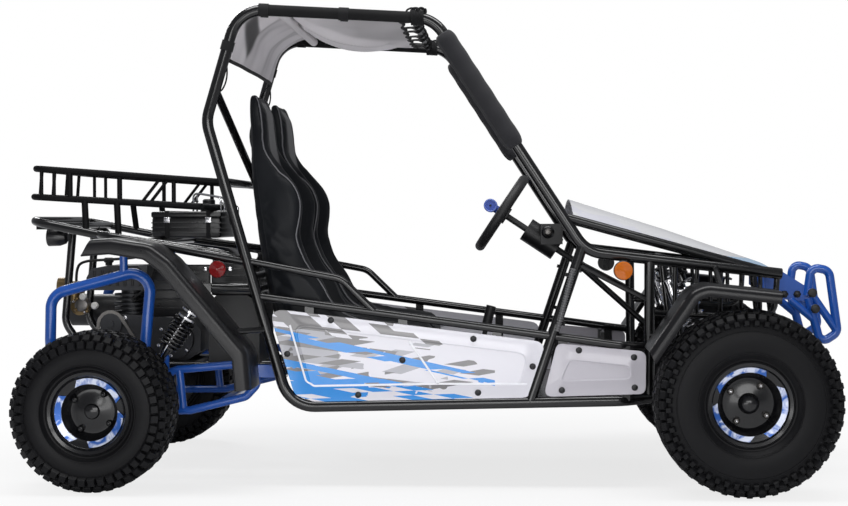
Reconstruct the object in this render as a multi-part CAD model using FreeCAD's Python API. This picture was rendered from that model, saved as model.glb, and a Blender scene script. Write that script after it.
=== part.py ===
import FreeCAD, Part
import math
import os

V = FreeCAD.Vector

# Two-seat off-road buggy. Lengths in mm. X points forward and starts at the rear axle,
# Y points to the vehicle's left, Z points up from the ground. Angles in degrees.

# Wheels
wheelbase = 1705.0
front_tyre_od = 483.0
front_tyre_width = 178.0
rear_tyre_od = 424.0
rear_tyre_width = 200.0
rear_track = 960.0
hub_offset = 41.0
rim_seat_r = 101.5
rim_wall = 4.0
lug_height = 9.0
front_lugs = 20
rear_lugs = 16

# Tube frame
cage_od = 30.0
rail_od = 22.0
bar_od = 16.0
bend_r = 60.0
corner_r = 90.0
foot_x = 505.0
foot_z = 213.0
kink_x = 284.0
kink_z = 978.0
roof_rear_x = 372.0
roof_rear_z = 1277.0
roof_front_x = 893.0
roof_front_z = 1247.0
cowl_x = 1296.0
cowl_z = 628.0
nose_x = wheelbase + 113.0
nose_z = 567.0
rail_end_x = wheelbase - 238.0
rail_end_z = 235.0
rail_bend_x = rail_end_x - 75.0

# Front suspension and steering
inner_rail_y = 140.0
inner_rail_z = 222.0
upper_rail_y = 155.0
upper_rail_z = 335.0
arm_od = 20.0
rack_x = wheelbase - 70.0
rack_z = 252.0
rack_od = 12.0
steer_wheel_r = 133.0
steer_hub_x = 1070.0
steer_hub_z = 733.0
steer_tilt = 33.5
grip_r = 15.0
run_clear = 0.05
open_clear = 2.0

# Seats
seat_width = 356.0
seat_gap = 40.0
bolster = 62.0
seat_y = (seat_width + seat_gap) / 2

# Widths that follow the seats and wheels
seat_clear = 24.0
cage_y = seat_y + seat_width / 2 + seat_clear
nose_y = cage_y - 65.0
nose_post_y = cage_y - 55.0
kingpin_y = cage_y + 62.0
front_track = 2 * (kingpin_y + hub_offset)
steer_y = seat_y - 3.0
guard_clear = 62.0
guard_y = rear_track / 2 - rear_tyre_width / 2 - guard_clear
arm_y = guard_y - 28.0
shock_y = arm_y + 10.0

# Sheet metal and covers
sheet = 3.0
floor_sheet = 2.5
panel_out_y = cage_y + 8.0

# Chain drive
chain_y = -101.0
sprocket_r = 95.0
drive_x = -50.0
drive_z = 415.0
drive_r = 31.5
chain_gap = 4.0
chain_thick = 9.0
chain_half = 6.0

os.makedirs("parts", exist_ok=True)
nodes = {}


def rest(shape, *carriers):
    """Trim each solid of a shape where it meets the pieces that carry it."""
    kept = []
    for solid in shape.Solids:
        whole = solid.Volume
        cut = solid
        for c in carriers:
            if cut.BoundBox.intersect(c.BoundBox):
                cut = cut.cut(c)
        kept += [s for s in cut.Solids if s.Volume > 0.12 * whole]
    return Part.makeCompound(kept)


def weld(shapes):
    """Join shapes that meet into one body."""
    return shapes[0].multiFuse(list(shapes[1:])).removeSplitter()


def add(name, shapes, *carriers):
    """Add solids to a node, trimmed to the nodes that carry them."""
    shape = Part.makeCompound([s for one in shapes for s in one.Solids])
    if carriers:
        shape = rest(shape, *[nodes[c] for c in carriers])
    held = nodes[name].Solids if name in nodes else []
    nodes[name] = Part.makeCompound(held + shape.Solids)


def mirrored(shape):
    """The same shape on the other side of the vehicle."""
    return shape.mirror(V(0, 0, 0), V(0, 1, 0))


def both(shape):
    """A shape on the right and its copy on the left."""
    return [shape, mirrored(shape)]


def path(points, bend):
    """Straight runs joined by tangent arcs."""
    pts = [V(*p) for p in points]
    edges = []
    start = pts[0]
    for a, b, c in zip(pts, pts[1:], pts[2:]):
        u = (a - b).normalize()
        w = (c - b).normalize()
        half = u.getAngle(w) / 2
        back = min(bend / math.tan(half), 0.45 * min((a - b).Length, (c - b).Length))
        r = back * math.tan(half)
        bis = (u + w).normalize()
        p = b + u * back
        q = b + w * back
        edges.append(Part.LineSegment(start, p).toShape())
        edges.append(Part.Arc(p, b + bis * (r / math.sin(half) - r), q).toShape())
        start = q
    edges.append(Part.LineSegment(start, pts[-1]).toShape())
    return Part.Wire(edges)


def tube(points, od, bend=bend_r):
    """A bent bar of round section along a path."""
    a = V(*points[0])
    b = V(*points[1])
    if len(points) == 2:
        return Part.makeCylinder(od / 2, (b - a).Length, a, b - a)
    ring = Part.Wire(Part.makeCircle(od / 2, a, b - a))
    bar = path(points, bend).makePipeShell([ring], True, False)
    if bar.Volume < 0:
        bar.reverse()
    return bar


def block(x0, x1, y0, y1, z0, z1):
    """A box between two corners."""
    return Part.makeBox(x1 - x0, y1 - y0, z1 - z0, V(x0, y0, z0))


def slab(points, y0, y1):
    """A flat outline in X and Z drawn out from y0 to y1."""
    wire = Part.makePolygon([V(x, y0, z) for x, z in points] + [V(points[0][0], y0, points[0][1])])
    return Part.Face(wire).extrude(V(0, y1 - y0, 0))


def offset_line(points, gap):
    """The same open line in X and Z, moved sideways by gap with mitred corners."""
    out = []
    for i, (x, z) in enumerate(points):
        n = V(0, 0, 0)
        runs = [r for r in (points[max(i - 1, 0):i + 1], points[i:i + 2]) if len(r) == 2]
        for a, b in runs:
            d = V(b[0] - a[0], 0, b[1] - a[1]).normalize()
            n = n + V(-d.z, 0, d.x)
        stretch = 2.0 / (n.Length * n.Length) if len(runs) == 2 else 1.0
        out.append((x + n.x * gap * stretch, z + n.z * gap * stretch))
    return out


def lathe(profile, centre, axis=V(0, 1, 0)):
    """Turn a closed outline of (radius, along) pairs about an axis through centre."""
    wire = Part.makePolygon([V(r, a, 0) for r, a in profile] + [V(profile[0][0], profile[0][1], 0)])
    body = Part.Face(wire).revolve(V(0, 0, 0), V(0, 1, 0), 360)
    solid = Part.Solid(body.Shells[0]) if not body.Solids else body.Solids[0]
    if solid.Volume < 0:
        solid.reverse()
    solid.rotate(V(0, 0, 0), V(0, 1, 0).cross(axis) if V(0, 1, 0).cross(axis).Length > 1e-9 else V(1, 0, 0),
                 math.degrees(V(0, 1, 0).getAngle(axis)))
    solid.translate(centre)
    return solid


def closed(faces):
    """The solid inside a closed set of flat faces, each given by its corners."""
    shell = Part.makeShell([Part.Face(Part.makePolygon(corners + corners[:1])) for corners in faces])
    shell.sewShape()
    solid = Part.Solid(shell.Shells[0])
    if solid.Volume < 0:
        solid.reverse()
    return solid


def curved(line, reach):
    """An open line in X and Z with each corner drawn as a short curve."""
    out = [line[0]]
    for a, b, c in zip(line, line[1:], line[2:]):
        p = on_line(b, a, min(0.5, reach / math.dist(a, b)))
        q = on_line(b, c, min(0.5, reach / math.dist(b, c)))
        for t in (0.0, 0.25, 0.5, 0.75, 1.0):
            point = on_line(on_line(p, b, t), on_line(b, q, t), t)
            if math.dist(point, out[-1]) > 1.0:
                out.append(point)
    return out + [line[-1]]


def on_line(a, b, t):
    """A point between a and b."""
    return tuple(p + (q - p) * t for p, q in zip(a, b))


def cage_x(z):
    """X of the rear leg of the cage at a height below its kink."""
    return foot_x + (z - foot_z) * (kink_x - foot_x) / (kink_z - foot_z)


def rail_z(x):
    """Height of the lower side rail at x."""
    return foot_z + (x - foot_x) * (rail_end_z - foot_z) / (rail_end_x - foot_x)


def top_rail_z(x):
    """Height of the upper side rail at x."""
    return 509.0 - 0.1333 * (x - 420.0)


def pillar_x(z):
    """X of the screen pillar of the cage at a height."""
    return roof_front_x + (roof_front_z - z) * (cowl_x - roof_front_x) / (roof_front_z - cowl_z)


def roof_z(x):
    """Height of the roof tube at x."""
    return roof_rear_z + (x - roof_rear_x) * (roof_front_z - roof_rear_z) / (roof_front_x - roof_rear_x)


def front_rail(x):
    """Point of the right front rail at x."""
    t = (x - cowl_x) / (nose_x - cowl_x)
    return (x, -cage_y + t * (cage_y - nose_y), cowl_z + t * (nose_z - cowl_z))


# Cage: one long bent tube a side, from the nose over the roof and down to the lower rail
side_tube = tube([
    (nose_x, -nose_y, nose_z),
    (cowl_x, -cage_y, cowl_z),
    (roof_front_x, -cage_y, roof_front_z),
    (roof_rear_x, -cage_y, roof_rear_z),
    (kink_x, -cage_y, kink_z),
    (foot_x, -cage_y, foot_z),
    (rail_bend_x, -cage_y, rail_z(rail_bend_x)),
    (rail_end_x, -nose_post_y, rail_end_z)], cage_od, corner_r)
add("cage_right", [side_tube])
add("cage_left", [mirrored(side_tube)])

# Cross tubes of the cage, roof, seat back and floor
cross_at = [
    (840.0, roof_z(840.0), rail_od),
    (480.0, roof_z(480.0), rail_od),
    (cage_x(816.0), 816.0, rail_od),
    (cage_x(560.0), 560.0, rail_od),
    (pillar_x(690.0), 690.0, rail_od)]
for x in (600.0, 860.0, 1130.0, 1385.0):
    cross_at.append((x, rail_z(x), rail_od))
cross = [tube([(x, -cage_y, z), (x, cage_y, z)], od) for x, z, od in cross_at]
add("cage_crossbars", cross, "cage_right", "cage_left")
brace = tube([(309.0, -cage_y, 1062.0), (cage_x(600.0), cage_y, 600.0)], rail_od)
add("hoop_brace", [brace], "cage_right", "cage_left", "cage_crossbars")

# Side posts: the pillar from the cowl to the lower rail, and the post ahead of the panels
pillar = tube([(1148.0, -cage_y, rail_z(1148.0)), (1290.0, -cage_y, 652.0)], cage_od - 2)
post_top = front_rail(wheelbase - 240.0)
post = tube([(rail_end_x, -nose_post_y, rail_end_z), post_top], cage_od - 2)
add("side_posts", both(pillar) + both(post), "cage_right", "cage_left", "cage_crossbars")

# Side rails, hip rails and nose braces
rail = tube([
    (cage_x(509.0), -cage_y, 509.0),
    (1390.0, -cage_y, top_rail_z(1390.0)),
    on_line((rail_end_x, -nose_post_y, rail_end_z), post_top, 0.37)], rail_od)
add("side_rails", both(rail), "cage_right", "cage_left", "side_posts")
hip = tube([
    (cage_x(604.0), -cage_y, 604.0),
    (645.0, -cage_y, 556.0),
    (737.0, -cage_y, top_rail_z(737.0))], 20.0)
add("hip_rails", both(hip), "cage_right", "cage_left", "side_rails", "hoop_brace")
nose_brace = tube([(1283.0, -cage_y, 592.0), on_line((rail_end_x, -nose_post_y, rail_end_z), post_top, 0.7)], bar_od)
hood_tube = tube([(pillar_x(722.0), -cage_y, 722.0), front_rail(wheelbase + 90.0)], rail_od)
add("nose_tubes", both(nose_brace) + both(hood_tube), "cage_right", "cage_left", "side_posts", "cage_crossbars")

# Front frame: inner rails that carry the arms, uprights, cross tubes
cross_front = tube([(rail_end_x, -nose_post_y, rail_end_z), (rail_end_x, nose_post_y, rail_end_z)], rail_od)
nose_cross = tube([(nose_x - 8, -nose_y, nose_z), (nose_x - 8, nose_y, nose_z)], rail_od)
tower_cross = tube([front_rail(wheelbase - 160.0), tuple(mirrored(Part.Vertex(*front_rail(wheelbase - 160.0))).Vertexes[0].Point)], rail_od)
add("cage_crossbars", [cross_front, nose_cross, tower_cross], "cage_right", "cage_left", "side_posts", "nose_tubes")
inner_rail = tube([
    (rail_end_x + 5.0, -inner_rail_y, rail_end_z),
    (wheelbase - 160.0, -inner_rail_y, inner_rail_z),
    (wheelbase + 167.0, -inner_rail_y, inner_rail_z)], rail_od)
upper_inner = tube([
    (wheelbase - 160.0, -upper_rail_y, front_rail(wheelbase - 160.0)[2]),
    (wheelbase - 130.0, -upper_rail_y, upper_rail_z),
    (wheelbase + 150.0, -upper_rail_y, upper_rail_z)], 20.0, 50.0)
upright = tube([(wheelbase + 145.0, -inner_rail_y, inner_rail_z), (nose_x - 8, -inner_rail_y, nose_z)], rail_od)
rear_upright = tube([(wheelbase - 115.0, -inner_rail_y, inner_rail_z), (wheelbase - 115.0, -upper_rail_y, upper_rail_z)], 18.0)
low_cross = tube([(wheelbase + 157.0, -inner_rail_y, inner_rail_z), (wheelbase + 157.0, inner_rail_y, inner_rail_z)], 18.0)
mid_cross = tube([(wheelbase - 145.0, -inner_rail_y, inner_rail_z), (wheelbase - 145.0, inner_rail_y, inner_rail_z)], 18.0)
front_side = [inner_rail, upper_inner, upright, rear_upright]
front_frame = weld(front_side + [mirrored(s) for s in front_side] + [low_cross, mid_cross])
add("front_frame", [front_frame], "cage_crossbars")

# Side grid of the nose: a lower bar with short bars up to the front rail
grid_low = tube([
    on_line((rail_end_x, -nose_post_y, rail_end_z), post_top, 0.62),
    (wheelbase - 145.0, -nose_post_y, 458.0),
    (wheelbase + 95.0, 5.0 - nose_y, 450.0),
    (front_rail(wheelbase + 103.0)[0], -nose_y + 2, nose_z)], bar_od, 40.0)
add("side_rails", both(grid_low), "cage_right", "cage_left", "side_posts", "cage_crossbars")
slats = []
for x in (wheelbase - 171.0, wheelbase - 113.0, wheelbase - 49.0, wheelbase + 6.0, wheelbase + 57.0):
    top = front_rail(x)
    slats.append(tube([(x, -nose_post_y + (x - (wheelbase - 145.0)) * 0.0625, 456.0), top], 12.0))
add("nose_slats", [s for one in slats for s in both(one)], "cage_right", "cage_left", "side_rails", "cage_crossbars")

# Rear frame: U-shaped hoop, engine cradle and the cross tubes that carry them
hoop_pts = [
    (cage_x(600.0), -cage_y, 600.0),
    (310.0, -cage_y + 18, 624.0),
    (-25.0, -310.0, 672.0),
    (-222.0, -300.0, 712.0)]
hoop = tube(hoop_pts + [(x, -y, z) for x, y, z in reversed(hoop_pts)], rail_od + 2, 55.0)
cradle = tube([
    (cage_x(300.0), -130.0, 300.0),
    (-90.0, -130.0, 300.0),
    (-175.0, -130.0, 420.0),
    (-150.0, -130.0, 697.0)], rail_od)
cradle_cross = tube([(cage_x(300.0), -cage_y, 300.0), (cage_x(300.0), cage_y, 300.0)], cage_od)
add("cage_crossbars", [cradle_cross], "cage_right", "cage_left")
hoop_cross = tube([(-150.0, -304.0, 697.4), (-150.0, 304.0, 697.4)], rail_od)
hoop_cross_b = tube([(105.0, -345.0, 653.4), (105.0, 345.0, 653.4)], rail_od)
outer_rail = tube([
    (cage_x(600.0) + 4, -cage_y, 600.0),
    (-14.0, -cage_y, 677.0),
    (-14.0, -300.0, 670.0)], rail_od, 45.0)
rear_frame = weld([hoop, hoop_cross, hoop_cross_b] + both(cradle) + both(outer_rail))
add("rear_frame", [rear_frame], "cage_right", "cage_left", "hoop_brace", "cage_crossbars")

# Carrier rack: two rails a side, bars and posts down to the hoop
rack_y = 290.0
top_pts = [(cage_x(816.0), -rack_y, 816.0), (-219.0, -rack_y, 857.0)]
rack_top = tube(top_pts + [(x, -y, z) for x, y, z in reversed(top_pts)], 18.0, 40.0)
low_pts = [(247.0, -rack_y, 750.0), (-225.0, -rack_y, 779.0)]
rack_low = tube(low_pts + [(x, -y, z) for x, y, z in reversed(low_pts)], 18.0, 40.0)
add("rack_rails", [rack_top], "cage_crossbars", "hoop_brace")
rack_low_front = tube([(247.0, -rack_y, 750.0), (247.0, rack_y, 750.0)], 18.0)
add("rack_rails", [weld([rack_low, rack_low_front])])
rack_bars = []
for x, od in ((-195.0, 10.0), (-160.0, 10.0), (-116.0, 16.0), (23.0, 12.0), (173.0, 12.0)):
    top_z = 816.0 + (x - cage_x(816.0)) * (857.0 - 816.0) / (-219.0 - cage_x(816.0))
    low_z = 750.0 + (x - 247.0) * (779.0 - 750.0) / (-225.0 - 247.0)
    rack_bars += both(tube([(x, -rack_y, low_z), (x, -rack_y, top_z)], od))
for y in (-200.0, -70.0, 70.0, 200.0):
    rack_bars.append(tube([(-225.0, y, 779.0), (-219.0, y, 857.0)], 10.0))
for x in (84.0, 108.0):
    rack_bars += both(tube([(x, -rack_y, 762.0), (x + 50.0, -rack_y, 826.0)], 9.0))
add("rack_bars", rack_bars, "rack_rails")
deck = []
for y in (-240.0, -180.0, -120.0, -60.0, 0.0, 60.0, 120.0, 180.0, 240.0):
    deck.append(tube([(-225.0, y, 779.0), (247.0, y, 750.0)], 10.0))
add("rack_bars", deck, "rack_rails")
rack_posts = []
for x, z in ((-75.0, 769.0), (15.0, 764.0)):
    rack_posts += both(tube([(x, -rack_y, z), (x + 8, -306.0, 690.0 - (x + 75.0) * 0.17 - 10)], 18.0))
add("rack_bars", rack_posts, "rack_rails", "rear_frame")

# Floor pan on its cross tubes
floor_pts = [(566.0, -cage_y), (rail_bend_x - 8, -cage_y), (rail_end_x, -nose_post_y), (rail_end_x, nose_post_y),
             (rail_bend_x - 8, cage_y), (566.0, cage_y)]
floor = Part.Face(Part.makePolygon([V(x, y, 0) for x, y in floor_pts + floor_pts[:1]])).extrude(V(0, 0, floor_sheet))
floor.rotate(V(0, 0, 0), V(0, 1, 0), -math.degrees(math.atan((rail_end_z - foot_z) / (rail_end_x - foot_x))))
floor.translate(V(0, 0, rail_z(0.0) + rail_od / 2))
add("floor_pan", [floor], "cage_right", "cage_left", "cage_crossbars", "side_posts", "front_frame")

# Side panels with the flat bars that carry them
strips = []
for x in (560.0, 810.0, 1060.0, 1235.0, 1400.0):
    low = rail_z(x)
    strips.append(block(x - 12, x + 12, -panel_out_y + sheet, -panel_out_y + 2 * sheet, low, top_rail_z(x)))
add("brackets", [s for one in strips for s in both(one)], "cage_right", "cage_left", "side_rails", "side_posts")
rear_panel = slab([(458, 480), (1186, 392), (1140, 244), (575, 231), (530, 240), (512, 262)], -panel_out_y, -panel_out_y + sheet)
front_panel = slab([(1221, 386), (wheelbase - 261.0, 359), (wheelbase - 255.0, 261), (1172, 247)], -panel_out_y, -panel_out_y + sheet)
add("side_panels", both(rear_panel) + both(front_panel), "cage_right", "cage_left", "side_rails", "side_posts")

# Bonnet: a crowned sheet on the hood tubes


def bonnet_rib(x, z_edge, half, rise, lift):
    """One crowned cross section of the bonnet."""
    a = V(x, -half, z_edge + lift)
    b = V(x, half, z_edge + lift)
    m = V(x, 0, z_edge + rise + lift)
    return Part.Arc(a, m, b).toShape()


def bonnet_section(x, z_edge, half, rise):
    low = bonnet_rib(x, z_edge, half, rise, 0)
    top = bonnet_rib(x, z_edge, half, rise, sheet)
    ends = [Part.LineSegment(low.Vertexes[i].Point, top.Vertexes[i].Point).toShape() for i in (0, 1)]
    return Part.Wire([low, ends[1], top, ends[0]])


hood_a = (pillar_x(722.0), -cage_y, 722.0)
hood_b = front_rail(wheelbase + 90.0)
bonnet_ribs = []
for x, rise in ((1262.0, 44.0), (wheelbase - 175.0, 32.0), (wheelbase + 80.0, 12.0)):
    seat_at = on_line(hood_a, hood_b, (x - hood_a[0]) / (hood_b[0] - hood_a[0]))
    bonnet_ribs.append(bonnet_section(x, seat_at[2] + rail_od / 2 - 1.5, -seat_at[1], rise))
bonnet = Part.makeLoft(bonnet_ribs, True, True)
add("bonnet", [bonnet], "cage_right", "cage_left", "nose_tubes", "cage_crossbars")

# Mudguards: folded sheet with a skirt on the outer edge


def mudguard(line, y_in, y_out, skirt):
    """A folded sheet from y_in to y_out with a skirt down its outer edge."""
    line = curved(line, 45.0)
    under = offset_line(line, -sheet)
    low = offset_line(line, -skirt)
    top = slab(line + under[::-1], y_in, y_out)
    side = slab(line + low[::-1], y_out, y_out + math.copysign(sheet, y_in - y_out))
    return top.fuse(side).removeSplitter()


rear_guard_line = [(-40, 652), (22, 670), (166, 650), (207, 610), (412, 378), (425, 276)]
rear_mudguard = mudguard(rear_guard_line, -cage_y - 10, 10 - (rear_track + rear_tyre_width) / 2, 40.0)
add("mudguards", both(rear_mudguard), "cage_right", "cage_left", "rear_frame")
front_guard_line = [(wheelbase - 255.0, 378), (wheelbase - 149.0, 535), (wheelbase - 109.0, 549), (wheelbase + 80.0, 529)]
front_mudguard = mudguard(front_guard_line, 12 - (front_track - front_tyre_width) / 2, 17 - (front_track + front_tyre_width) / 2, 30.0)
add("mudguards", both(front_mudguard), "cage_right", "cage_left")
stays = [
    tube([(cage_x(420.0), -cage_y, 420.0), (372.0, -470.0, 420.0)], bar_od),
    tube([(110.0, -340.0, 651.0), (110.0, -480.0, 651.0)], bar_od),
    tube([front_rail(wheelbase - 65.0), (wheelbase - 65.0, -480.0, 538.0)], bar_od),
    tube([(wheelbase - 234.0, -365.0, 400.0), (wheelbase - 223.0, -440.0, 412.0)], bar_od)]
add("brackets", [s for one in stays for s in both(one)], "cage_right", "cage_left", "rear_frame", "mudguards", "side_posts")

# Rear guard, swing arm and front bumper
guard_cross_z = 340.0
guard = tube([
    (90.0, -guard_y, 292.0),
    (118.0, -guard_y, 584.0),
    (-162.0, -guard_y, 510.0),
    (-166.0, -guard_y, guard_cross_z),
    (-166.0, guard_y, guard_cross_z),
    (-162.0, guard_y, 510.0),
    (118.0, guard_y, 584.0),
    (90.0, guard_y, 292.0)], cage_od, 50.0)
guard_bar = tube([(90.0, -guard_y, 300.0), (90.0, -130.0, 300.0)], rail_od)
guard_hang = tube([(40.0, -guard_y, 563.0), (40.0, -guard_y - 6, 663.0)], rail_od)
add("rear_guard", [weld([guard] + both(guard_bar) + both(guard_hang))], "rear_frame", "brackets")

axle_z = rear_tyre_od / 2
arm_loop = tube([
    (25.0, -arm_y, axle_z + 30),
    (180.0, -arm_y, 302.0),
    (398.0, -arm_y, 322.0),
    (402.0, -arm_y, 262.0),
    (370.0, -arm_y, 228.0),
    (215.0, -arm_y, 190.0),
    (25.0, -arm_y, axle_z - 24)], rail_od, 28.0)
bearing = Part.makeCylinder(48.0, 40.0, V(0, -arm_y - 20, axle_z), V(0, 1, 0))
bearing = bearing.cut(Part.makeCylinder(15.0 + run_clear, 60.0, V(0, -arm_y - 30, axle_z), V(0, 1, 0)))
strut = tube([(196.0, -arm_y, 196.0), (186.0, -arm_y, 302.0)], rail_od)
arm_cross = tube([(300.0, -arm_y, 210.8), (300.0, arm_y, 210.8)], rail_od)
pivot = []
for y in (-arm_y,):
    pivot += both(block(396.0, cage_x(300.0) + 4, y - 16, y + 16, 283.0, 317.0))
shock_foot = block(112.0, 158.0, -arm_y - 4, -arm_y + 4, 278.0, 345.0)
swing_arm = weld(both(arm_loop) + both(strut) + both(bearing) + both(shock_foot) + [arm_cross] + pivot)
swing_arm = swing_arm.cut(Part.makeCylinder(15.0 + run_clear, 800.0, V(0, -400.0, axle_z), V(0, 1, 0)))
add("swing_arm", [swing_arm], "cage_crossbars")

bumper_y = 150.0
bumper_od = 24.0
bumper_hole_z = 504.5
bumper_plate = slab([(wheelbase + 96.0, 566), (wheelbase + 147.0, 566), (wheelbase + 217.0, 522), (wheelbase + 217.0, 485),
                     (wheelbase + 141.0, 490), (wheelbase + 96.0, 520)], -bumper_y - 3, 3 - bumper_y)
for x in (wheelbase + 151.0, wheelbase + 186.0):
    bumper_plate = bumper_plate.cut(Part.makeCylinder(8.0, 20.0, V(x, -bumper_y - 10, bumper_hole_z), V(0, 1, 0)))
outer_loop = [
    (wheelbase + 214.0, -bumper_y, 501.0),
    (wheelbase + 225.0, -bumper_y, 580.0),
    (wheelbase + 274.0, -bumper_y, 570.0),
    (wheelbase + 298.0, -bumper_y, 398.0),
    (wheelbase + 251.0, -bumper_y, 367.0),
    (wheelbase + 234.0, -bumper_y, 431.0),
    (wheelbase + 216.0, -bumper_y, 495.0)]
bumper_side = tube(outer_loop, bumper_od, 24.0)
bumper_brace = tube([(wheelbase + 226.0, -bumper_y, 505.0), (wheelbase + 296.0, -bumper_y, 402.0)], bumper_od - 2)
bumper_low = tube([(wheelbase + 167.0, -bumper_y, 489.0), (wheelbase + 239.0, -bumper_y, 429.0)], bumper_od - 2)
bumper_cross = []
for x, z in ((wheelbase + 225.0, 509.0), (wheelbase + 233.0, 465.0)):
    bumper_cross.append(tube([(x, -bumper_y - 22, z), (x, bumper_y + 22, z)], bumper_od + 2))
front_bumper = weld(both(bumper_plate) + both(bumper_side) + both(bumper_brace) + both(bumper_low) + bumper_cross)
add("front_bumper", [front_bumper], "cage_crossbars", "cage_right", "cage_left", "side_rails", "front_frame")

# Front suspension arms


def wishbone(z_in, z_out, x_half, y_in, od):
    """Two legs from the frame to one outer ball."""
    outer = V(wheelbase, -kingpin_y + 12, z_out)
    legs = []
    for s in (-1, 1):
        legs.append(Part.makeCylinder(od / 2, 1.0, V(0, 0, 0), V(0, 0, 1)))
        inner = V(wheelbase + s * x_half, -y_in, z_in)
        d = inner - outer
        legs[-1] = Part.makeCylinder(od / 2, d.Length, outer, d)
    sleeves = [Part.makeCylinder(od / 2 + 2, 34.0, V(wheelbase + s * x_half - 17, -y_in, z_in), V(1, 0, 0)) for s in (-1, 1)]
    ball = Part.makeSphere(od / 2 + 4, outer)
    return legs[0].multiFuse([legs[1], ball] + sleeves).removeSplitter()


low_arm = wishbone(inner_rail_z + 3, 196.0, 80.0, inner_rail_y + rail_od / 2 + arm_od / 2 + 1.5, arm_od)
low_arm = weld([low_arm, block(wheelbase - 53.0, wheelbase - 23.0, -335.0, -325.0, 204.0, 244.0)])
high_arm = wishbone(upper_rail_z, 288.0, 45.0, upper_rail_y + 10 + arm_od / 2 + 0.5, arm_od - 2)
add("front_arms", both(low_arm) + both(high_arm), "front_frame")

# Spring and damper units


def coilover(top, low, spring_r, rod_r, coils):
    """A damper with its coil spring drawn as a ribbed sleeve, from top eye to low eye."""
    a = V(*top)
    b = V(*low)
    length = (b - a).Length
    profile = [(0.1, 0), (rod_r + 6, 0), (rod_r + 6, 30), (spring_r, 34)]
    pitch = (length - 80) / coils
    for i in range(coils):
        z = 38 + i * pitch
        profile += [(spring_r, z), (spring_r, z + pitch * 0.45), (spring_r - 6, z + pitch * 0.6), (spring_r - 6, z + pitch * 0.9)]
    profile += [(spring_r, length - 38), (rod_r + 4, length - 34), (rod_r + 4, length), (0.1, length)]
    body = lathe([(max(r, 0.0), z) for r, z in profile[1:-1]] + [(0.0, length), (0.0, 0.0)], V(0, 0, 0))
    body.rotate(V(0, 0, 0), V(0, 1, 0).cross(b - a), math.degrees(V(0, 1, 0).getAngle(b - a)))
    body.translate(a)
    return body


rear_top = (258.0, -300.0, 520.0)
rear_low = (135.0, -300.0, 332.0)
front_top = (wheelbase - 160.0, -262.0, 596.0)
front_low = (wheelbase - 41.0, -330.0, 236.0)
rear_shock = coilover(rear_top, rear_low, 27.0, 9.0, 6)
front_shock = coilover(front_top, front_low, 23.0, 9.0, 7)
add("shocks", both(rear_shock) + both(front_shock), "cage_crossbars", "front_arms", "swing_arm")
shock_beam = tube([(cage_x(526.0), -cage_y, 526.0), (cage_x(526.0), cage_y, 526.0)], rail_od)
add("cage_crossbars", [shock_beam], "cage_right", "cage_left", "side_rails")
shock_arm = weld([
    tube([(cage_x(526.0), -300.0, 526.0), (258.0, -300.0, 530.0)], rail_od),
    block(240.0, 280.0, -guard_y, -282.0, 516.0, 540.0)])
add("shock_arms", both(shock_arm), "cage_crossbars", "shocks", "hoop_brace")

# Engine: crankcase with round side covers, finned barrel, shroud and the small drive sprocket
crank_line = [(-78, 352), (-62, 320), (-22, 311), (170, 311), (205, 335), (208, 395), (180, 430), (40, 440), (-62, 446), (-82, 424)]
crank = slab(crank_line, -85.0, 85.0)
foot = block(100.0, 200.0, -136.0, 136.0, 303.0, 311.0)
cover = Part.makeCylinder(54.0, 28.0, V(135.0, -112.0, 372.0), V(0, 1, 0))
cap = Part.makeCylinder(20.0, 5.0, V(135.0, -117.0, 372.0), V(0, 1, 0))
far_cover = Part.makeCylinder(58.0, 26.0, V(120.0, 84.0, 372.0), V(0, 1, 0))
fins = [(0.0, 0.0)]
for i in range(5):
    z = 8.0 + i * 13.0
    fins += [(34.0, z), (54.0, z), (54.0, z + 6.0), (34.0, z + 6.0)]
fins += [(34.0, 86.0), (0.0, 86.0)]
barrel = lathe(fins, V(-8.0, 0.0, 434.0), V(0, 0, 1))
shroud = slab([(-124, 512), (50, 512), (50, 562), (24, 583), (-62, 583), (-110, 574), (-124, 548)], -88.0, 70.0)
drive_end = Part.makeCylinder(drive_r, 6.0, V(drive_x, chain_y - 3, drive_z), V(0, 1, 0))
drive_shaft = Part.makeCylinder(10.0, 30.0, V(drive_x, chain_y - 8, drive_z), V(0, 1, 0))
engine = weld([crank, foot, cover, cap, far_cover, barrel, shroud, drive_end, drive_shaft])
add("engine", [engine], "rear_frame", "rear_guard")
exhaust = tube([(-8.0, 20.0, 476.0), (-8.0, 190.0, 476.0), (-60.0, 200.0, 440.0)], 30.0, 40.0)
muffler = Part.makeCylinder(48.0, 180.0, V(-60.0, 200.0, 440.0), V(-1, 0, 0))
add("exhaust", [exhaust.fuse(muffler).removeSplitter()], "engine", "rear_frame", "rear_guard", "swing_arm")

# Carburettor with its bowl, inlet and the starter below it
throat = Part.makeCylinder(18.0, 70.0, V(-206.0, -70.0, 520.0), V(1, 0, 0))
bell = Part.makeCylinder(28.0, 26.0, V(-209.0, -70.0, 520.0), V(1, 0, 0))
inlet = Part.makeCylinder(13.0, 60.0, V(-150.0, -70.0, 524.0), V(1, 0, 0.1))
bowl = Part.makeCylinder(20.0, 40.0, V(-166.0, -70.0, 480.0), V(0, 0, 1))
starter = Part.makeCylinder(25.0, 44.0, V(-144.0, -92.0, 465.0), V(0, 1, 0))
add("carburettor", [weld([throat, bell, inlet, bowl, starter])], "engine", "rear_frame")

# Air box on the cradle
air_box = slab([(240, 308), (385, 308), (385, 472), (352, 500), (262, 500), (240, 478)], -139.0, 139.0)
add("air_box", [air_box], "rear_frame", "engine")
add("tank", [block(78.0, 280.0, -150.0, 150.0, 662.0, 738.0)], "rear_frame", "rack_rails")

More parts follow.
